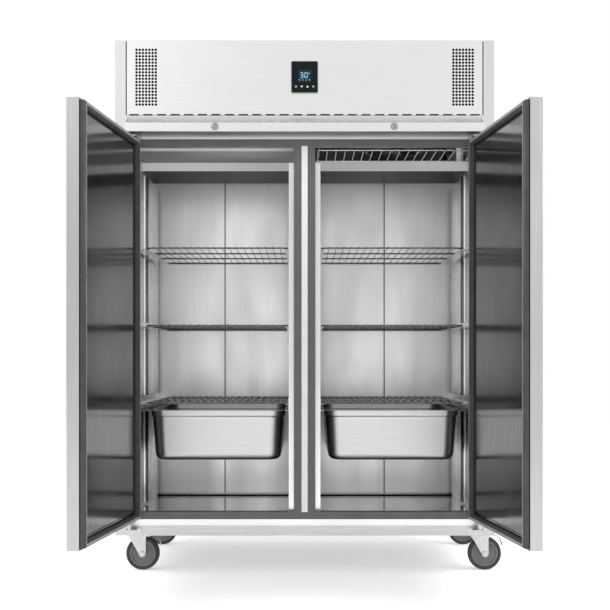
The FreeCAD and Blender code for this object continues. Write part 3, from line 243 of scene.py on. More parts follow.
finishes = {
    "panelSteel": brushedSteel("panelSteel", "#e0e0e0", "#dadada", 0.32, 0.04, (520, 1.3, 1.3), 0.02, 0.15),
    "apronSteel": brushedSteel("apronSteel", "#bcbcbc", "#b4b4b4", 0.32, 0.04, (520, 1.3, 1.3), 0.02, 0.2),
    "sideSteel": brushedSteel("sideSteel", "#d4d4d4", "#cacaca", 0.32, 0.04, (1.3, 1.3, 520), 0.02, 0.2),
    "doorSteel": brushedSteel("doorSteel", "#b6b6b6", "#aaaaaa", 0.31, 0.05, (1.3, 1.3, 520), 0.02, 0.2),
    "coverSteel": coverSteel("coverSteel"),
    "doorLiningSteel": brushedSteel("doorLiningSteel", "#7f7f7f", "#6e6e6e", 0.13, 0.04, (1.4, 1.4, 380),
                                    0.02, 0.2),
    "panSteel": panSteel("panSteel"),
    "rackSteel": brushedSteel("rackSteel", "#e2e2e2", "#d2d2d2", 0.26, 0.06, (1.2, 1.2, 160), 0.03),
    "hingeSteel": brushedSteel("hingeSteel", "#c8c8c8", "#b1b1b1", 0.30, 0.06, (40, 1.0, 1.0), 0.03),
    "linerSteel": linerSteel("linerSteel"),
    "galvanisedSheet": platedSteel("galvanisedSheet", "#b2b4b6", "#a5a8aa", 0.42, 8.0),
    "zincPlate": platedSteel("zincPlate", "#cccccc", "#c0c0c0", 0.38, 5.0),
    "chromedWire": platedSteel("chromedWire", "#747474", "#565656", 0.20, 9.0, 0.01),
    "guardWire": platedSteel("guardWire", "#f4f4f4", "#e0e0e0", 0.30, 9.0, 0.01),
    "finAluminium": platedSteel("finAluminium", "#c8cacc", "#a4a7aa", 0.38, 7.0),
    "copperTube": platedSteel("copperTube", "#c47a4e", "#8f5230", 0.34, 11.0),
    "stripAbs": mouldedPlastic("stripAbs", "#545454", "#4e4e4e", 0.42, 1.54, 0.8),
    "trimAbs": mouldedPlastic("trimAbs", "#dedede", "#d4d4d4", 0.36, 1.54, 0.8),
    "gasketPvc": mouldedPlastic("gasketPvc", "#3e3e3e", "#343434", 0.48, 1.53, 0.6),
    "gasketWeb": mouldedPlastic("gasketWeb", "#838383", "#777777", 0.45, 1.53, 0.6),
    "bezelGloss": mouldedPlastic("bezelGloss", "#08090a", "#101214", 0.20, 1.58, 0.5, 0.005, 0.0, 0.12),
    "smokedAcrylic": mouldedPlastic("smokedAcrylic", "#0c2730", "#14343f", 0.12, 1.49, 0.5, 0.004, 0.0, 0.12),
    "cupNylon": mouldedPlastic("cupNylon", "#3a3c3e", "#2f3133", 0.45, 1.53, 0.7, 0.05),
    "boxAbs": mouldedPlastic("boxAbs", "#b9bbba", "#adafae", 0.45, 1.54, 0.9),
    "wheelPolypropylene": mouldedPlastic("wheelPolypropylene", "#6a6a6b", "#5c5c5d", 0.42, 1.49, 0.9, 0.04),
    "tyreRubber": mouldedPlastic("tyreRubber", "#2e2e2f", "#242425", 0.62, 1.52, 0.7, 0.08),
    "pedalEnamel": mouldedPlastic("pedalEnamel", "#4b4c4d", "#37383a", 0.34, 1.5, 0.9, 0.03, 0.3),
    "motorEnamel": mouldedPlastic("motorEnamel", "#17181a", "#222426", 0.33, 1.5, 1.2, 0.05, 0.4),
    "fanPlastic": mouldedPlastic("fanPlastic", "#26282a", "#1c1e20", 0.40, 1.53, 0.8),
    "filterMesh": mouldedPlastic("filterMesh", "#050505", "#090909", 0.85, 1.5, 1.0, 0.3, 0.0, 0.05),
    "sealant": mouldedPlastic("sealant", "#2c2c2c", "#222222", 0.55, 1.45, 1.5, 0.05, 0.0, 0.2),
    "bezelRim": mouldedPlastic("bezelRim", "#9a9a9a", "#8c8c8c", 0.40, 1.54, 0.6),
    "insulationFoam": foamFinish("insulationFoam"),
    "displayGlow": litDisplay("displayGlow", "#6fbccb", 0.7),
    # the printed button marks use this glow too: painted light, they are no lamp
    "iconGlow": litDisplay("iconGlow", "#f2f4f4", 0.8),
}
print("finishes made:", len(finishes))

nodeFinishes = {
    "panelSteel": ["fascia_panel", "front_frame", "lock_canopy"],
    "apronSteel": ["front_apron"],
    "sideSteel": ["side_panels", "top_cover"],
    "doorSteel": ["door_left_skin", "door_right_skin"],
    "coverSteel": ["ceiling_covers"],
    "doorLiningSteel": ["door_left_inner_panel", "door_right_inner_panel"],
    "rackSteel": ["shelf_uprights", "shelf_runners"],
    "hingeSteel": ["door_hardware", "key_lock_left", "key_lock_right"],
    "linerSteel": ["inner_liner"],
    "panSteel": ["pan_left", "pan_right"],
    "galvanisedSheet": ["back_panel", "base_panel", "machine_deck"],
    "zincPlate": ["castor_heads", "fasteners"],
    "chromedWire": [],
    "guardWire": ["ceiling_wire_guard"],
    "finAluminium": ["condenser_unit"],
    "fanPlastic": ["evaporator_unit", "evaporator_fan", "condenser_fan"],
    "copperTube": ["refrigerant_pipes"],
    "stripAbs": ["breaker_strips"],
    "trimAbs": ["mullion_trim"],
    "gasketPvc": ["door_left_gasket", "door_right_gasket"],
    "bezelGloss": ["controller_bezel"],
    "smokedAcrylic": ["controller_display"],
    "cupNylon": ["door_left_handle", "door_right_handle", "mains_gland"],
    "boxAbs": ["electrical_box"],
    "motorEnamel": ["compressor"],
    "insulationFoam": ["insulation_foam", "door_left_foam", "door_right_foam"],
}
for name in frame["nodes"]:
    if name.startswith("shelf_") and name not in ("shelf_uprights", "shelf_runners"):
        nodeFinishes["chromedWire"].append(name)
    if name.startswith("castor_fork"):
        nodeFinishes["zincPlate"].append(name)
    if name.startswith("castor_wheel"):
        nodeFinishes.setdefault("wheelPolypropylene", []).append(name)
    if name.startswith("brake_pedal"):
        nodeFinishes.setdefault("pedalEnamel", []).append(name)
for finish, names in nodeFinishes.items():
    for name in names:
        slots = frame["nodes"][name].material_slots
        for slot in slots:
            slot.link = "OBJECT"
            slot.material = finishes[finish]
print("nodes dressed:", sum(len(names) for names in nodeFinishes.values()), "of", len(frame["nodes"]))


def gridFaces(rows, columns, closeRows=False, closeColumns=False):
    # Quads of a grid of points numbered row by row: each takes its point, the next along, and the two below.
    down, along = np.meshgrid(np.arange(rows - (not closeRows)), np.arange(columns - (not closeColumns)),
                              indexing="ij")
    below, right = (down + 1) % rows, (along + 1) % columns
    corners = [down * columns + along, down * columns + right, below * columns + right,
               below * columns + along]
    return np.stack([c.ravel() for c in corners], 1)


# Several (points, faces) as one, with each face list moved past the points before it
def joinSheets(*sheets):
    points, faces, start = [], [], 0
    for sheetPoints, sheetFaces in sheets:
        points.append(np.asarray(sheetPoints, float).reshape(-1, 3))
        faces += [tuple(int(i) + start for i in face) for face in sheetFaces]
        start += len(points[-1])
    return np.concatenate(points), faces


def lathe(profile, centre, axis, steps=48, closed=False):
    # Profile of (radius, distance along the axis) turned round: centre + along * axis
    # + radius * (cos t * across + sin t * up), with t going once round in even steps.
    profile = np.asarray(profile, float) * mm
    axis = np.asarray(axis, float)
    across = np.cross(axis, [0.0, 0.0, 1.0]) if abs(axis[2]) < 0.9 else np.array([1.0, 0.0, 0.0])
    up = np.cross(axis, across)
    t = np.linspace(0, 2 * np.pi, steps, endpoint=False)
    ring = np.cos(t)[:, None] * across + np.sin(t)[:, None] * up
    points = (np.asarray(centre, float) + profile[:, 1, None, None] * axis
              + profile[:, 0, None, None] * ring[None])
    return points.reshape(-1, 3), gridFaces(len(profile), steps, closed, True)


def cornerRing(x0, x1, y0, y1, radius, steps=8):
    # Rounded rectangle: each corner's centre plus radius times a quarter circle, for each row of the arrays.
    quarter = np.linspace(0, np.pi / 2, steps)
    turns = np.concatenate([quarter + k * np.pi / 2 for k in range(4)])
    x0, x1, y0, y1, radius = (np.atleast_1d(np.asarray(v, float))[:, None] for v in (x0, x1, y0, y1, radius))
    ones = np.ones((1, steps))
    middleX = np.concatenate([(x1 - radius) * ones, (x0 + radius) * ones, (x0 + radius) * ones,
                              (x1 - radius) * ones], 1)
    middleY = np.concatenate([(y1 - radius) * ones, (y1 - radius) * ones, (y0 + radius) * ones,
                              (y0 + radius) * ones], 1)
    return middleX + radius * np.cos(turns), middleY + radius * np.sin(turns)


def makePiece(name, points, faces, body, finish, slot, stands=(), creaseDeg=32.0, wallMm=0.0, bevelMm=0.0):
    mesh = bpy.data.meshes.new(name)
    mesh.from_pydata(np.asarray(points).tolist(), [], [tuple(int(i) for i in face) for face in faces])
    solid = bmesh.new()
    solid.from_mesh(mesh)
    bmesh.ops.remove_doubles(solid, verts=solid.verts, dist=1e-6)
    bmesh.ops.dissolve_degenerate(solid, edges=solid.edges, dist=1e-7)
    bmesh.ops.recalc_face_normals(solid, faces=solid.faces)
    solid.to_mesh(mesh)
    solid.free()
    mesh.polygons.foreach_set("use_smooth", np.ones(len(mesh.polygons), bool))
    mesh.set_sharp_from_angle(angle=math.radians(creaseDeg))
    mesh.materials.append(finishes[finish])
    piece = bpy.data.objects.new(name, mesh)
    bpy.context.scene.collection.objects.link(piece)
    if wallMm:
        wall = piece.modifiers.new("wall", "SOLIDIFY")
        wall.thickness = abs(wallMm) * mm
        wall.offset = -1.0 if wallMm > 0 else 1.0
    if bevelMm:
        edge = piece.modifiers.new("edge", "BEVEL")
        edge.width = bevelMm * mm
        edge.segments = 2
        edge.limit_method = "ANGLE"
        edge.angle_limit = math.radians(40)
    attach(piece, body)
    if stands:
        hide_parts(*stands)
    return piece


def arcPoints(centreA, centreB, radius, fromDeg, toDeg, steps):  # points of an arc in a profile's own plane
    t = np.radians(np.linspace(fromDeg, toDeg, steps))
    return np.stack([centreA + radius * np.cos(t), centreB + radius * np.sin(t)], 1)


# Canopy over the doors: a hollow cove down from the fascia to an upright nose, one folded sheet.
canopy = {"noseMm": 31.0, "coveShare": (0.42, 0.72), "coveSteps": 20, "sheetMm": 1.2, "lipMm": 12.0}
low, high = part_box("lock_canopy")
reach, drop = high.y - low.y, high.z - low.z - canopy["noseMm"] * mm
start = np.array([0.0, 0.0])
middle = np.array([reach * canopy["coveShare"][0], -drop * canopy["coveShare"][1]])
end = np.array([reach, -drop])
# the cove is the circle through three points: its centre is as far from each, by two linear equations
sides = 2 * np.array([middle - start, end - start])
centre = np.linalg.solve(sides, [middle @ middle - start @ start, end @ end - start @ start])
radius = np.linalg.norm(start - centre)
angles = [math.degrees(math.atan2(*(p - centre)[::-1])) for p in (start, end)]
angles = [a - 360 if a > 90 else a for a in angles]
cove = arcPoints(centre[0], centre[1], radius, angles[0], angles[1], canopy["coveSteps"])
noseBottom = low.z - high.z
lip = canopy["lipMm"] * mm
profile = np.concatenate([cove, [[reach, noseBottom], [reach - lip, noseBottom]]])
ends = np.array([low.x, high.x])
points = np.stack([np.broadcast_to(ends[None], (len(profile), 2)),
                   np.broadcast_to((high.y - profile[:, 0])[:, None], (len(profile), 2)),
                   np.broadcast_to((high.z + profile[:, 1])[:, None], (len(profile), 2))], 2)
cheeks = [np.stack([np.full(len(profile) + 1, x), np.append(high.y - profile[:, 0], high.y),
                    np.append(high.z + profile[:, 1], low.z)], 1) for x in ends]
sheet = joinSheets((points, gridFaces(len(profile), 2)),
                   *[(cheek, [range(len(cheek))]) for cheek in cheeks])
makePiece("canopySheet", *sheet, "cabinet", "panelSteel", "stainless_outside", ("lock_canopy",), 30.0,
          canopy["sheetMm"])
print("canopy made")

# Deep food pans: one drawn sheet, rim, stacking shoulder, leaning wall and a round-edged floor.
pan = {"flangeMm": 13.0, "flangeCornerMm": 30.0, "bendMm": 4.0, "bandMm": 22.0, "shoulderMm": 5.0,
       "leanMm": 9.0, "floorBendMm": 26.0, "cornerMm": 52.0, "sheetMm": 0.9}


def panProfile(depthMm):  # rows of (inset from the rim's edge, depth below it, corner radius), rim to floor
    flange, bend, band = pan["flangeMm"], pan["bendMm"], pan["bandMm"]
    rows = [np.array([[0.0, 0.0], [flange - bend - 2, 0.0]])]
    rows.append(np.stack([flange - bend + bend * np.sin(np.linspace(0, np.pi / 2, 7)),
                          bend - bend * np.cos(np.linspace(0, np.pi / 2, 7))], 1))
    rows.append(np.array([[flange, band - 3.0]]))
    share = np.linspace(0, 1, 8)[1:]
    rows.append(np.stack([flange + pan["shoulderMm"] * (3 * share ** 2 - 2 * share ** 3),
                          band - 3.0 + 9.0 * share], 1))
    wallTop = band + 6.0
    wallFoot = depthMm - pan["floorBendMm"]
    inner = flange + pan["shoulderMm"]
    wall = np.linspace(0, 1, 8)[1:]
    rows.append(np.stack([inner + pan["leanMm"] * wall, wallTop + (wallFoot - wallTop) * wall], 1))
    turn = np.linspace(0, np.pi / 2, 10)[1:]
    bendMm = pan["floorBendMm"]
    rows.append(np.stack([inner + pan["leanMm"] + bendMm * (1 - np.cos(turn)),
                          wallFoot + bendMm * np.sin(turn)], 1))
    shape = np.concatenate(rows)
    growth = np.clip((shape[:, 0] - 1.0) / (flange - 1.0), 0, 1)
    corner = pan["flangeCornerMm"] + (pan["cornerMm"] - pan["flangeCornerMm"]) * growth
    corner = corner - np.clip(shape[:, 0] - flange, 0, None) * 0.55
    return np.column_stack([shape, corner]) * mm


for side in ("left", "right"):
    low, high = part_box("pan_" + side)
    rows = panProfile((high.z - low.z) / mm - pan["sheetMm"])
    ringX, ringY = cornerRing(low.x + rows[:, 0], high.x - rows[:, 0], low.y + rows[:, 0],
                              high.y - rows[:, 0],
                              rows[:, 2], 9)
    height = np.broadcast_to((high.z - rows[:, 1])[:, None], ringX.shape)
    points = np.stack([ringX, ringY, height], 2)
    faces = gridFaces(*ringX.shape, False, True).tolist()
    lastRing = (ringX.shape[0] - 1) * ringX.shape[1]
    faces.append(list(range(lastRing, lastRing + ringX.shape[1])))
    tub = makePiece("panTub_" + side, points.reshape(-1, 3), faces, "pan_" + side, "panSteel",
                    "stainless_bright", ("pan_" + side,), 40.0)
    if tub.data.polygons[-1].normal.z < 0:
        tub.data.flip_normals()
    wall = tub.modifiers.new("wall", "SOLIDIFY")
    wall.thickness, wall.offset = pan["sheetMm"] * mm, -1.0
print("pans made")

# Castor wheels: a grey hub with stepped rings, and a rubber tyre with a rounded tread.
wheel = {"tyreProfileMm": [(49.4, -13.6), (50.4, -15.4), (55.5, -16.0), (59.4, -14.6), (61.8, -11.4),
                           (62.5, -6.0),
                           (62.5, 6.0), (61.8, 11.4), (59.4, 14.6), (55.5, 16.0), (50.4, 15.4), (49.4, 13.6)],
         "hubHalfMm": [(5.2, 19.0), (10.5, 19.0), (11.5, 18.3), (16.0, 18.0), (17.0, 16.8), (17.4, 11.0),
                       (19.0, 9.6), (27.0, 9.2), (27.8, 10.6), (31.0, 10.8), (31.8, 9.3), (38.5, 8.9),
                       (40.2, 11.2), (42.0, 13.4), (48.2, 14.0), (49.3, 13.5)]}
hubHalf = np.array(wheel["hubHalfMm"])
hubProfile = np.concatenate([hubHalf * [1, -1], hubHalf[::-1]])
castorPlaces = ("front_left", "front_right", "rear_left", "rear_right")
for place in castorPlaces:
    node = "castor_wheel_" + place
    low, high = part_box(node)
    centre = (low + high) / 2
    tyre = lathe(wheel["tyreProfileMm"], centre, (0, 1, 0), 72, True)
    makePiece("castorTyre_" + place, *tyre, node, "tyreRubber", "castor_plastic", (node,), 40.0)
    hub = lathe(hubProfile, centre, (0, 1, 0), 64, True)
    makePiece("castorHub_" + place, *hub, node, "wheelPolypropylene", "castor_plastic", (node,), 28.0)
print("wheels made")

# Axle bolts: chamfered hexagons over a washer, on both legs of each fork.
axle = {"acrossMm": 10.4, "chamferMm": 8.6, "heightMm": 5.2, "washerMm": 12.0}
hexProfile = [(0.0, axle["heightMm"]), (axle["chamferMm"], axle["heightMm"]),
              (axle["acrossMm"], axle["heightMm"] - 1.3),
              (axle["acrossMm"], 1.2), (0.0, 1.2)]
washerProfile = [(0.0, 1.4), (axle["washerMm"] - 0.6, 1.4), (axle["washerMm"], 0.8), (axle["washerMm"], -0.2),
                 (0.0, -0.2)]
for place in castorPlaces:
    wheelLow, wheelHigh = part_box("castor_wheel_" + place)
    forkLow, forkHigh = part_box("castor_fork_" + place)
    centre = (wheelLow + wheelHigh) / 2
    parts = []
    for face, direction in ((forkLow.y + 4 * mm, -1), (forkHigh.y - 4 * mm, 1)):
        spot = (centre.x, face, centre.z)
        parts.append(lathe(hexProfile, spot, (0, direction, 0), 6))
        parts.append(lathe(washerProfile, spot, (0, direction, 0), 28))
    makePiece("axleBolt_" + place, *joinSheets(*parts), "castor_fork_" + place, "zincPlate",
              "zinc_plated_steel",
              (), 20.0)
print("axle bolts made")

# Brake pedals: a pressed strip that curls down behind the wheel, with grip ribs across its toe.
pedal = {"pathMm": [(-4.0, 0.6), (6.0, -0.6), (17.0, -6.6), (26.0, -14.6), (32.0, -24.6), (35.4, -33.0),
                    (37.6, -41.0)],
         "halfWidthMm": 14.6, "sheetMm": 2.4, "ribMm": 0.5, "ribs": 4, "barrelMm": 4.5, "waist": 0.16}
for place in ("front_left", "front_right"):
    node = "brake_pedal_" + place
    low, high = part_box(node)
    pinX, pinZ = low.x + pedal["barrelMm"] * mm, high.z - pedal["barrelMm"] * mm
    knots = np.array(pedal["pathMm"])
    share = np.linspace(0, 1, 41)
    knotShare = np.linspace(0, 1, len(knots))
    path = np.stack([np.interp(share, knotShare, knots[:, k]) for k in (0, 1)], 1)
    for _ in range(6):  # evens the bends out: each point moves to the mean of its neighbours
        path[1:-1] = (path[:-2] + path[2:]) / 2
    toe = np.clip((share - 0.62) / 0.38, 0, 1)
    path[:, 1] += pedal["ribMm"] * np.sin(toe * pedal["ribs"] * 2 * np.pi) * (toe > 0)
    across = np.linspace(-1, 1, 9)
    width = pedal["halfWidthMm"] * (1 - pedal["waist"] * np.sin(np.pi * np.clip(share * 1.5, 0, 1)) ** 2)
    middleY = (low.y + high.y) / 2
    points = np.stack([np.broadcast_to((pinX + path[:, 0] * mm)[:, None], (41, 9)),
                       middleY + width[:, None] * across * mm,
                       np.broadcast_to((pinZ + path[:, 1] * mm)[:, None], (41, 9))], 2)
    makePiece("pedalStrip_" + place, points.reshape(-1, 3), gridFaces(41, 9), node, "pedalEnamel",
              "zinc_plated_steel", (node,), 40.0, pedal["sheetMm"], 0.6)
    half = pedal["halfWidthMm"]
    barrel = lathe([(2.7, -half), (4.0, -half), (4.4, 0.5 - half), (4.4, half - 0.5), (4.0, half),
                    (2.7, half)],
                   (pinX, middleY, pinZ), (0, 1, 0), 28, True)
    makePiece("pedalBarrel_" + place, *barrel, node, "pedalEnamel", "zinc_plated_steel", (), 35.0)
print("pedals made")

# Doors: pieces are laid out on the closed right door, then turned open and mirrored like the frame's own.
record = frame["record"]
hinge = {j["child"]: j for j in record["behaviour"]["joints"] if j["name"].endswith("_hinge")}
doorSpot = {"frontPlane": hinge["door_right"]["pos_m"][1] + 40 * mm, "leafX": (2.5, 656.0),
            "leafZ": (201.5, 1594.5), "faceY": -60.0, "liningY": -20.0}


def hang(points, side):  # closed right-hand door, in millimetres from the front plane, to its open place
    turn = -math.radians(min(hinge["door_right"]["range_deg"]))
    pivot = np.array([hinge["door_right"]["pos_m"][0], hinge["door_right"]["pos_m"][1]])
    points = np.asarray(points, float).reshape(-1, 3) * mm + [0, doorSpot["frontPlane"], 0]
    flat = points[:, :2] - pivot
    turned = np.stack([flat[:, 0] * math.cos(turn) - flat[:, 1] * math.sin(turn),
                       flat[:, 0] * math.sin(turn) + flat[:, 1] * math.cos(turn)], 1) + pivot
    placed = np.column_stack([turned, points[:, 2]])
    return placed * [1 if side == "right" else -1, 1, 1]


# Gasket: a dart foot, two bellows folds and a magnet bar, carried round the leaf with mitred corners.
# Its profile is (inset from the outer edge, height off the lining).
gasket = {"insetMm": 6.0, "profileMm": [(1.4, 0.0), (0.2, 1.2), (0.0, 4.6), (1.5, 6.4), (1.7, 8.0),
                                        (0.4, 9.8),
                                        (0.5, 13.2), (3.0, 14.6), (4.2, 17.8), (6.2, 19.2), (13.4, 19.4),
                                        (15.4, 18.2), (16.4, 15.2), (19.6, 13.6), (19.8, 11.6), (18.0, 10.2),
                                        (18.2, 8.4), (21.4, 6.2), (21.8, 2.0), (20.6, 0.0)],
          "webMm": [(5.6, 19.30), (7.0, 19.52), (12.6, 19.52), (14.0, 19.30)]}


def doorRing(profileMm, insetMm):  # rectangle at each profile point's inset: rows of four mitred corners
    inset, height = np.asarray(profileMm, float).T
    inset = inset + insetMm
    x0, x1 = doorSpot["leafX"][0] + inset, doorSpot["leafX"][1] - inset
    z0, z1 = doorSpot["leafZ"][0] + inset, doorSpot["leafZ"][1] - inset
    y = doorSpot["liningY"] + height
    return np.stack([np.stack([x0, y, z0], 1), np.stack([x1, y, z0], 1), np.stack([x1, y, z1], 1),
                     np.stack([x0, y, z1], 1)], 1)


for side in ("left", "right"):
    ring = doorRing(gasket["profileMm"], gasket["insetMm"])
    makePiece("gasketBellows_" + side, hang(ring, side), gridFaces(*ring.shape[:2], True, True),
              "door_" + side,
              "gasketPvc", "gasket_rubber", ("door_%s_gasket" % side,), 50.0)
    web = doorRing(gasket["webMm"], gasket["insetMm"])
    makePiece("gasketMagnetBar_" + side, hang(web, side), gridFaces(*web.shape[:2], False, True),
              "door_" + side,
              "gasketWeb", "gasket_rubber", (), 50.0)
print("gaskets made")

# Handle: a moulded cup sunk in the leaf, its rolled flange standing proud.
cup = {"x": (32.5, 78.5), "z": (890.0, 1210.0), "cornerMm": 9.0}
rows = np.array([(5.0, 0.0), (4.8, 0.9), (4.2, 1.4), (3.2, 1.5), (0.6, 1.5), (-0.9, 1.2), (-1.9, 0.2),
                 (-2.2, -1.2),
                 (-2.5, -14.0), (-3.6, -18.6), (-6.4, -21.0), (-9.8, -21.6)])
for side in ("left", "right"):
    grow = rows[:, 0]
    ringX, ringZ = cornerRing(cup["x"][0] - grow, cup["x"][1] + grow, cup["z"][0] - grow, cup["z"][1] + grow,
                              np.clip(cup["cornerMm"] + grow, 1.0, None), 7)
    depth = np.broadcast_to((doorSpot["faceY"] - rows[:, 1])[:, None], ringX.shape)
    points = np.stack([ringX, depth, ringZ], 2)
    faces = gridFaces(*ringX.shape, False, True).tolist()
    last = (ringX.shape[0] - 1) * ringX.shape[1]
    faces.append(list(range(last, last + ringX.shape[1])))
    makePiece("handleCup_" + side, hang(points, side), faces, "door_" + side, "cupNylon", "handle_plastic",
              ("door_%s_handle" % side,), 38.0)
print("handles made")

# Screws: pan heads on the plinth and the lid, hexagon bolts under the castor plates.
screw = {"plinthX": (-0.520, -0.132, 0.132, 0.520), "plinthDropMm": 8.0,
         "lidX": (-0.600, -0.200, 0.200, 0.600),
         "lidYMm": 80.0, "boltSpreadMm": 34.0, "boltMm": 6.4, "panMm": 4.4, "panHeightMm": 1.5}
headShare = np.linspace(0, 1, 7)
panHead = np.stack([screw["panMm"] * np.sin(headShare * np.pi / 2),
                    screw["panHeightMm"] * np.cos(headShare * np.pi / 2) ** 0.8], 1)
panHead = np.concatenate([[[0.0, 0.2], [0.9, 0.35]], panHead[1:]])
boltHead = [(0.0, 4.6), (5.2, 4.6), (screw["boltMm"], 3.8), (screw["boltMm"], 0.2), (0.0, 0.2)]
apronLow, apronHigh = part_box("front_apron")
heads = []
for x in screw["plinthX"]:
    heads.append(lathe(panHead, (x, apronLow.y, apronHigh.z - screw["plinthDropMm"] * mm), (0, -1, 0), 20))
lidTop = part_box("top_cover")[1].z
for x in screw["lidX"]:
    heads.append(lathe(np.minimum(panHead, [9, 1.0]),
                       (x, doorSpot["frontPlane"] + screw["lidYMm"] * mm, lidTop),
                       (0, 0, 1), 20))
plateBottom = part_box("castor_heads")[1].z - 5 * mm
for place in castorPlaces:
    forkLow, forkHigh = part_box("castor_fork_" + place)
    pinX = forkLow.x + 36 * mm
    pinY = (forkLow.y + forkHigh.y) / 2
    for dx in (-1, 1):
        for dy in (-1, 1):
            spot = (pinX + dx * screw["boltSpreadMm"] * mm, pinY + dy * screw["boltSpreadMm"] * mm,
                    plateBottom)
            heads.append(lathe(boltHead, spot, (0, 0, -1), 6))
makePiece("screwHeads", *joinSheets(*heads), "cabinet", "zincPlate", "zinc_plated_steel", ("fasteners",),
          25.0)
print("screws made:", len(heads))

# Lock faces: a domed ring round each plug.
lock = {"ringMm": [(7.4, 1.2), (7.6, 2.2), (8.4, 2.9), (9.8, 3.0), (10.9, 2.5), (11.4, 1.4), (11.4, 0.0),
                   (7.4, 0.0)], "x": 0.324, "z": 1.632}
for side, sign in (("left", -1), ("right", 1)):
    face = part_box("lock_canopy")[0].y
    ring = lathe(lock["ringMm"], (sign * lock["x"], face, lock["z"]), (0, -1, 0), 40, True)
    makePiece("lockRing_" + side, *ring, "cabinet", "hingeSteel", "zinc_plated_steel", (), 35.0)
print("lock rings made")

# Controller: seven-segment figures, a thin frame line and four button marks, laid on the glass.
readout = {"figures": "3.0", "figureMm": (9.6, 18.0), "strokeMm": 2.6, "pitchMm": 13.6, "leftMm": -16.0,
           "riseMm": 5.0, "liftMm": 0.12, "iconX": (-32.0, -10.6, 10.6, 32.0), "iconZ": -35.0,
           "iconMm": 4.4}
segments = {"a": ((0, 1), (1, 1)), "b": ((1, 1), (1, .5)), "c": ((1, .5), (1, 0)), "d": ((0, 0), (1, 0)),
            "e": ((0, .5), (0, 0)), "f": ((0, 1), (0, .5)), "g": ((0, .5), (1, .5))}
lit = {"3": "abcdg", "0": "abcdef"}
glassLow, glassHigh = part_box("controller_display")
bezelLow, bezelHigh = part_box("controller_bezel")
glassMiddle = np.array([(glassLow.x + glassHigh.x) / 2, (glassLow.z + glassHigh.z) / 2]) / mm
bezelMiddle = np.array([(bezelLow.x + bezelHigh.x) / 2, (bezelLow.z + bezelHigh.z) / 2]) / mm


# A bar with pointed ends: six points round the line from start to end
def strokeOutline(start, end, widthMm):
    start, end = np.asarray(start, float), np.asarray(end, float)
    along = (end - start) / np.linalg.norm(end - start)
    side = np.array([-along[1], along[0]]) * widthMm / 2
    gap = along * widthMm * 0.12
    cap = along * widthMm * 0.5
    start, end = start + gap, end - gap
    return np.array([start, start + cap + side, end - cap + side, end, end - cap - side, start + cap - side])


def facePlate(outlines, frontY):  # flat outlines (x, z), in millimetres, as thin plates facing the front
    plates = []
    for outline in outlines:
        spots = np.column_stack([outline[:, 0] * mm, np.full(len(outline), frontY), outline[:, 1] * mm])
        back = spots + [0, readout["liftMm"] * mm, 0]
        count = len(spots)
        around = [(i, (i + 1) % count, (i + 1) % count + count, i + count) for i in range(count)]
        plates.append((np.concatenate([spots, back]),
                       [list(range(count)), list(range(2 * count - 1, count - 1, -1)),
                                                       *around]))
    return joinSheets(*plates)


def ringBar(centre, radius, widthMm, fromDeg, toDeg, steps=20):  # part of a ring, as one flat outline
    t = np.radians(np.linspace(fromDeg, toDeg, steps))
    outer = np.stack([np.cos(t), np.sin(t)], 1) * (radius + widthMm / 2)
    inner = np.stack([np.cos(t), np.sin(t)], 1)[::-1] * (radius - widthMm / 2)
    return np.concatenate([outer, inner]) + centre


figures = []
corner = glassMiddle + [readout["leftMm"], readout["riseMm"] - readout["figureMm"][1] / 2 - 2]
for place, figure in enumerate(readout["figures"].replace(".", "")):
    origin = corner + [place * readout["pitchMm"] + (3.0 if place else 0.0), 0]
    for key in lit[figure]:
        a, b = (origin + np.array(p) * readout["figureMm"] for p in segments[key])
        figures.append(strokeOutline(a, b, readout["strokeMm"]))
dot = corner + [readout["figureMm"][0] + 2.7, 0]
figures.append(dot + np.array([(-.8, -.8), (.8, -.8), (.8, .8), (-.8, .8)]))
figures.append(ringBar(corner + [32.6, 15.4], 2.2, 1.0, 0, 352))
for k in range(4):
    figures.append(ringBar(glassMiddle + [-18.0 + 12.0 * k, -14.5], 1.5, 1.1, 0, 352, 12))
frontY = glassLow.y - readout["liftMm"] * mm
makePiece("displayFigures", *facePlate(figures, frontY), "cabinet", "displayGlow", "display_glass", (), 20.0)
# button marks are printed white and given a glow of their own: painted light
icons = []
size = readout["iconMm"]
spots = [bezelMiddle + [x, readout["iconZ"]] for x in readout["iconX"]]
icons.append(ringBar(spots[0], size * 0.8, 0.8, 120, 420))
icons.append(spots[0] + np.array([(-.4, 0.6), (.4, 0.6), (.4, size), (-.4, size)]))
icons.append(spots[1] + np.array([(-size, size * .6), (size, size * .6), (0, -size * .8)]))
icons.append(spots[2] + np.array([(-size, -size * .6), (0, size * .8), (size, -size * .6)]))
for k in range(3):
    t = math.radians(60 * k)
    along = np.array([math.cos(t), math.sin(t)]) * size
    icons.append(strokeOutline(spots[3] - along, spots[3] + along, 0.8))
makePiece("buttonMarks", *facePlate(icons, bezelLow.y - readout["liftMm"] * mm), "cabinet", "iconGlow",
          "white_plastic", (), 20.0)
# Rim round the bezel: rows of (inset from its edge, height off its face).
rim = {"rowsMm": ((-0.2, 0.0), (0.2, 0.4), (1.6, 0.4), (2.0, 0.0)), "cornerMm": 6.0}
rimRows = []
for inset, height in rim["rowsMm"]:
    ringX, ringZ = cornerRing(bezelLow.x / mm + inset, bezelHigh.x / mm - inset, bezelLow.z / mm + inset,
                              bezelHigh.z / mm - inset, rim["cornerMm"] - inset, 9)
    rimRows.append(np.stack([ringX[0], np.full(ringX.shape[1], bezelLow.y / mm - height), ringZ[0]], 1))
rimRows = np.stack(rimRows) * mm
makePiece("bezelRim", rimRows.reshape(-1, 3), gridFaces(*rimRows.shape[:2], True, True), "cabinet",
          "bezelRim",
          "white_plastic", (), 40.0)

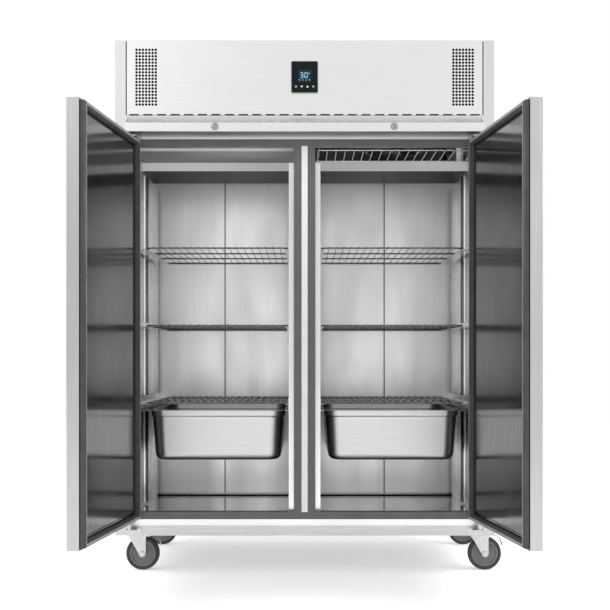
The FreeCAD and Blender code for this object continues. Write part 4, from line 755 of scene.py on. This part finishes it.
# Key slots: a shadow line round each lock ring, and a slot in a turned groove on its plug.
keyhole = {"shadowMm": (12.2, 1.8), "standOffMm": 0.3, "grooveMm": (6.2, 1.6), "slotMm": (4.0, 4.6),
           "slotWideMm": 2.4}
for side, sign in (("left", -1), ("right", 1)):
    spot = np.array([sign * lock["x"], lock["z"]]) / mm
    marks = facePlate([ringBar(spot, *keyhole["shadowMm"], 0, 352, 40)],
                      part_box("lock_canopy")[0].y - keyhole["standOffMm"] * mm)
    slot = facePlate([ringBar(spot, *keyhole["grooveMm"], 200, 520, 30),
                      strokeOutline(spot - [0, keyhole["slotMm"][0]], spot + [0, keyhole["slotMm"][1]],
                                    keyhole["slotWideMm"])],
                     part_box("key_lock_" + side)[0].y - readout["liftMm"] * mm)
    makePiece("keyHole_" + side, *joinSheets(marks, slot), "cabinet", "sealant", "gasket_rubber", (), 20.0)
print("controller dressed")

# Filters: a pleated black mesh pad behind each block of vent holes.
vent = {"x": 581.0, "z": 1825.0, "widthMm": 96.0, "heightMm": 226.0, "frontMm": 3.2, "pleatMm": 8.0,
        "foldMm": 2.2,
        "columns": 97, "rows": 12, "padMm": 1.6}
for side, sign in (("left", -1), ("right", 1)):
    # depth behind the panel follows a cosine across the pad: one fold for each pleat
    across = np.linspace(-0.5, 0.5, vent["columns"]) * vent["widthMm"]
    upward = np.linspace(-0.5, 0.5, vent["rows"]) * vent["heightMm"]
    fold = vent["frontMm"] + vent["foldMm"] * (0.5 - 0.5 * np.cos(2 * np.pi * across / vent["pleatMm"]))
    gridX, gridZ = np.meshgrid(sign * vent["x"] + across, vent["z"] + upward)
    points = np.stack([gridX * mm, np.broadcast_to(doorSpot["frontPlane"] + fold * mm, gridX.shape),
                       gridZ * mm], 2)
    makePiece("ventFilter_" + side, points.reshape(-1, 3), gridFaces(vent["rows"], vent["columns"]),
              "cabinet",
              "filterMesh", "fan_plastic", (), 60.0, -vent["padMm"])
print("filters made")


def beadRun(start, end, across, out, halfMm, riseMm, steps=9):
    # A bead of sealant: half an ellipse in the plane of across and out, carried from start to end.
    t = np.linspace(0, np.pi, steps)
    bow = np.cos(t)[:, None] * np.asarray(across) * halfMm + np.sin(t)[:, None] * np.asarray(out) * riseMm
    ring = np.stack([np.asarray(start) + bow, np.asarray(end) + bow], 1) * mm
    return ring.reshape(-1, 3), [*gridFaces(steps, 2, True).tolist(), list(range(0, 2 * steps, 2)),
                                 list(range(1, 2 * steps, 2))]


# Dark joints: sealant down the seams of the rear wall, along the back of the floor, and beside the fascia;
# a dark bead behind each side-wall post is a painted shadow of the post.
# Each bead is (half its width, how far it stands out), in millimetres.
joint = {"seamX": 343.0, "seamBead": (2.3, 0.6), "sheetsMm": 2.2, "wallHalfMm": 644.0, "wallFaceMm": 646.6,
         "footMm": 205.5, "footBead": (3.0, 3.0), "coveMm": 213.0, "coveBead": (3.6, 2.0), "topMm": 1590.0,
         "gapX": 654.0, "gapMm": (1618.0, 1957.0), "gapInMm": 7.0, "gapBead": (1.7, 3.0),
         "postMm": 410.0, "postTopMm": 1530.0, "postBead": (13.0, 12.0), "postShadowBehindMm": 36.0,
         "postShadowBead": (8.0, 11.0)}
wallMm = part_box("inner_liner")[1].y / mm - joint["sheetsMm"]  # the rear sheets' own face
frontMm = doorSpot["frontPlane"] / mm
forward, sideways, upward, rearward = (0, -1, 0), (1, 0, 0), (0, 0, 1), (0, 1, 0)
wallHalf = joint["wallHalfMm"]
beads, posts = [], []
for sign in (-1, 1):
    seamX = sign * joint["seamX"]
    beads.append(beadRun((seamX, wallMm, joint["footMm"]), (seamX, wallMm, joint["topMm"]), sideways, forward,
                         *joint["seamBead"]))
beads.append(beadRun((-wallHalf, wallMm, joint["footMm"]), (wallHalf, wallMm, joint["footMm"]), upward,
                     forward,
                     *joint["footBead"]))
for sign in (-1, 1):
    wallX, postY, inward = sign * joint["wallFaceMm"], frontMm + joint["postMm"], (-sign, 0, 0)
    posts.append(beadRun((wallX, postY, joint["coveMm"]), (wallX, postY, joint["postTopMm"]), rearward,
                         inward,
                         *joint["postBead"]))
    # painted shadow: a dark bead just behind each post, where its shadow falls on the side wall
    postShadowY = postY + joint["postShadowBehindMm"]
    beads.append(beadRun((wallX, postShadowY, joint["coveMm"]), (wallX, postShadowY, joint["postTopMm"]), rearward,
                         inward,
                         *joint["postShadowBead"]))
    gapX, gapY = sign * joint["gapX"], frontMm + joint["gapInMm"]
    beads.append(beadRun((gapX, gapY, joint["gapMm"][0]), (gapX, gapY, joint["gapMm"][1]), sideways, forward,
                         *joint["gapBead"]))
makePiece("sealantAndPostShadows", *joinSheets(*beads), "cabinet", "sealant", "gasket_rubber", (), 60.0)
cove = beadRun((-wallHalf, wallMm, joint["coveMm"]), (wallHalf, wallMm, joint["coveMm"]), upward, forward,
               *joint["coveBead"])
makePiece("floorCove", *joinSheets(cove, *posts), "cabinet", "rackSteel", "stainless_inside", (), 60.0)
print("joints made")

# Fans: five twisted blades on a round hub, in place of the plain rotors.
fanShape = {"blades": 5, "sweepDeg": 26.0, "pitchRootDeg": 40.0, "pitchTipDeg": 17.0, "chordShare": 0.66,
            "bladeMm": 1.5}
for node, axis, hubShare in (("evaporator_fan", (0, 0, 1), 0.255), ("condenser_fan", (0, 1, 0), 0.30)):
    low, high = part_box(node)
    centre = np.array((low + high) / 2)
    axis = np.array(axis, float)
    radius = (high.x - low.x) / 2
    depth = abs(np.array(high - low) @ axis)
    across = np.array([1.0, 0.0, 0.0])
    up = np.cross(axis, across)
    span = np.linspace(0, 1, 12)[:, None]
    chord = np.linspace(-0.5, 0.5, 10)[None, :]
    blades = []
    for k in range(fanShape["blades"]):
        # each point lies at the span's radius; the chord's angle carries it round and its pitch lifts it
        r = radius * (hubShare * 0.96 + (0.985 - hubShare * 0.96) * span)
        pitchDeg = fanShape["pitchRootDeg"] * (1 - span) + fanShape["pitchTipDeg"] * span
        pitch = np.radians(pitchDeg)
        reachAround = fanShape["chordShare"] * radius * (0.62 + 0.38 * np.sin(np.pi * (0.15 + 0.7 * span)))
        turn = 2 * np.pi * k / fanShape["blades"] + np.radians(fanShape["sweepDeg"]) * span ** 2
        theta = turn + chord * reachAround * np.cos(pitch) / r
        lift = chord * reachAround * np.sin(pitch) + 0.04 * radius * (1 - 4 * chord ** 2)
        lift = np.clip(lift, -depth * 0.47, depth * 0.47)
        points = (centre + r[..., None] * (np.cos(theta)[..., None] * across + np.sin(theta)[..., None] * up)
                  + lift[..., None] * axis)
        blades.append((points, gridFaces(12, 10)))
    makePiece("fanBlades_" + node, *joinSheets(*blades), node, "fanPlastic", "fan_plastic", (node,), 50.0,
              fanShape["bladeMm"])
    half = depth / 2 / mm
    hubRadius = radius * hubShare / mm
    hub = lathe([(3.3, -half), (hubRadius - 2, -half), (hubRadius, 2 - half), (hubRadius, half - 3),
                 (hubRadius - 3, half), (hubRadius * 0.55, half), (hubRadius * 0.5, half - 1.5),
                 (3.3, half - 1.5)], centre, axis, 48, True)
    makePiece("fanHub_" + node, *hub, node, "fanPlastic", "fan_plastic", (node,), 35.0)
print("fans made")

# Floor, light and camera
floorShape = {"halfX": 9.0, "halfY": 9.0, "tone": "#fbfbfb", "shade": "#f7f7f7"}
floorMesh = bpy.data.meshes.new("studioFloor")
floorMesh.from_pydata([(x * floorShape["halfX"], y * floorShape["halfY"], 0.0)
                       for x, y in ((-1, -1), (1, -1), (1, 1), (-1, 1))], [], [(0, 1, 2, 3)])
material, tree, coords = newFinish("paintedFloor")  # matt painted floor: pale, with roller texture
roller = speckle(tree, coords, (6, 6, 6))
colour = blendColours(tree, between(tree, speckle(tree, coords, (900, 900, 900)), 0.0, 1.0),
                      floorShape["tone"],
                      floorShape["shade"])
closeFinish(tree, {"Roughness": 0.75, "Emission Color": linearColour("#ffffff"), "Emission Strength": 0.34},
            {"Base Color": colour}, roller, 0.1, 0.2)  # lit a little from below, as a light table
floorMesh.materials.append(material)
floorPiece = bpy.data.objects.new("studioFloor", floorMesh)
bpy.context.scene.collection.objects.link(floorPiece)

studio = {"worldFront": 1.0, "worldTop": 1.04, "worldAround": 0.70, "background": 1.0}
world = bpy.data.worlds.new("studioWorld")
bpy.context.scene.world = world
world.use_nodes = True
tree = world.node_tree
tree.nodes.clear()
direction = addNode(tree, "ShaderNodeTexCoord").outputs["Generated"]
split = addNode(tree, "ShaderNodeSeparateXYZ", None, {0: direction})
rising = between(tree, split.outputs["Z"], studio["worldFront"], studio["worldTop"], -0.1, 0.7)
# The walls beside and behind
turned = between(tree, split.outputs["Y"], 1.0, studio["worldAround"], -0.65, 0.1)
glow = addNode(tree, "ShaderNodeMath", {"operation": "MULTIPLY"}, {0: rising, 1: turned}).outputs[0]
light = addNode(tree, "ShaderNodeBackground", {"Color": linearColour("#ffffff")}, {"Strength": glow})
plain = addNode(tree, "ShaderNodeBackground", {"Color": linearColour("#ffffff"),
                                               "Strength": studio["background"]})
seen = addNode(tree, "ShaderNodeLightPath").outputs["Is Camera Ray"]
mixed = addNode(tree, "ShaderNodeMixShader", None, {0: seen, 1: light.outputs[0], 2: plain.outputs[0]})
addNode(tree, "ShaderNodeOutputWorld", None, {"Surface": mixed.outputs[0]})

lamps = {"keyLight": {"at": (-2.6, -4.6, 3.4), "to": (0, 0, 1.0), "size": (2.6, 2.2), "watts": 12.0},
         "fillLight": {"at": (3.0, -4.2, 2.2), "to": (0, 0, 0.9), "size": (2.4, 2.4), "watts": 8.0},
         "floorLightLeft": {"at": (-4.2, -1.6, 4.0), "to": (-0.6, -1.6, 0.0), "size": (3.0, 3.0),
                            "watts": 150.0},
         "floorLightRight": {"at": (4.2, -1.6, 4.0), "to": (0.6, -1.6, 0.0), "size": (3.0, 3.0),
                             "watts": 150.0}}
for name, lamp in lamps.items():
    data = bpy.data.lights.new(name, "AREA")
    data.shape = "RECTANGLE"
    data.size, data.size_y = lamp["size"]
    data.energy = lamp["watts"]
    holder = bpy.data.objects.new(name, data)
    holder.location = lamp["at"]
    holder.rotation_euler = (Vector(lamp["to"]) - Vector(lamp["at"])).to_track_quat("-Z", "Y").to_euler()
    bpy.context.scene.collection.objects.link(holder)

view = {"back": 4.074, "height": 0.789, "focal": 1111.0, "centre": (304.6, 359.7), "frame": 610,
        "sensor": 36.0}
camera = bpy.data.cameras.new("studioCamera")
camera.sensor_width = view["sensor"]
camera.lens = view["focal"] * view["sensor"] / view["frame"]
camera.shift_x = (view["frame"] / 2 - view["centre"][0]) / view["frame"]
camera.shift_y = (view["centre"][1] - view["frame"] / 2) / view["frame"]
holder = bpy.data.objects.new("studioCamera", camera)
holder.location = (0.0, doorSpot["frontPlane"] - view["back"], view["height"])
holder.rotation_euler = (math.pi / 2, 0, 0)
bpy.context.scene.collection.objects.link(holder)
bpy.context.scene.camera = holder
bpy.context.scene.view_settings.view_transform = "Standard"
print("studio set")
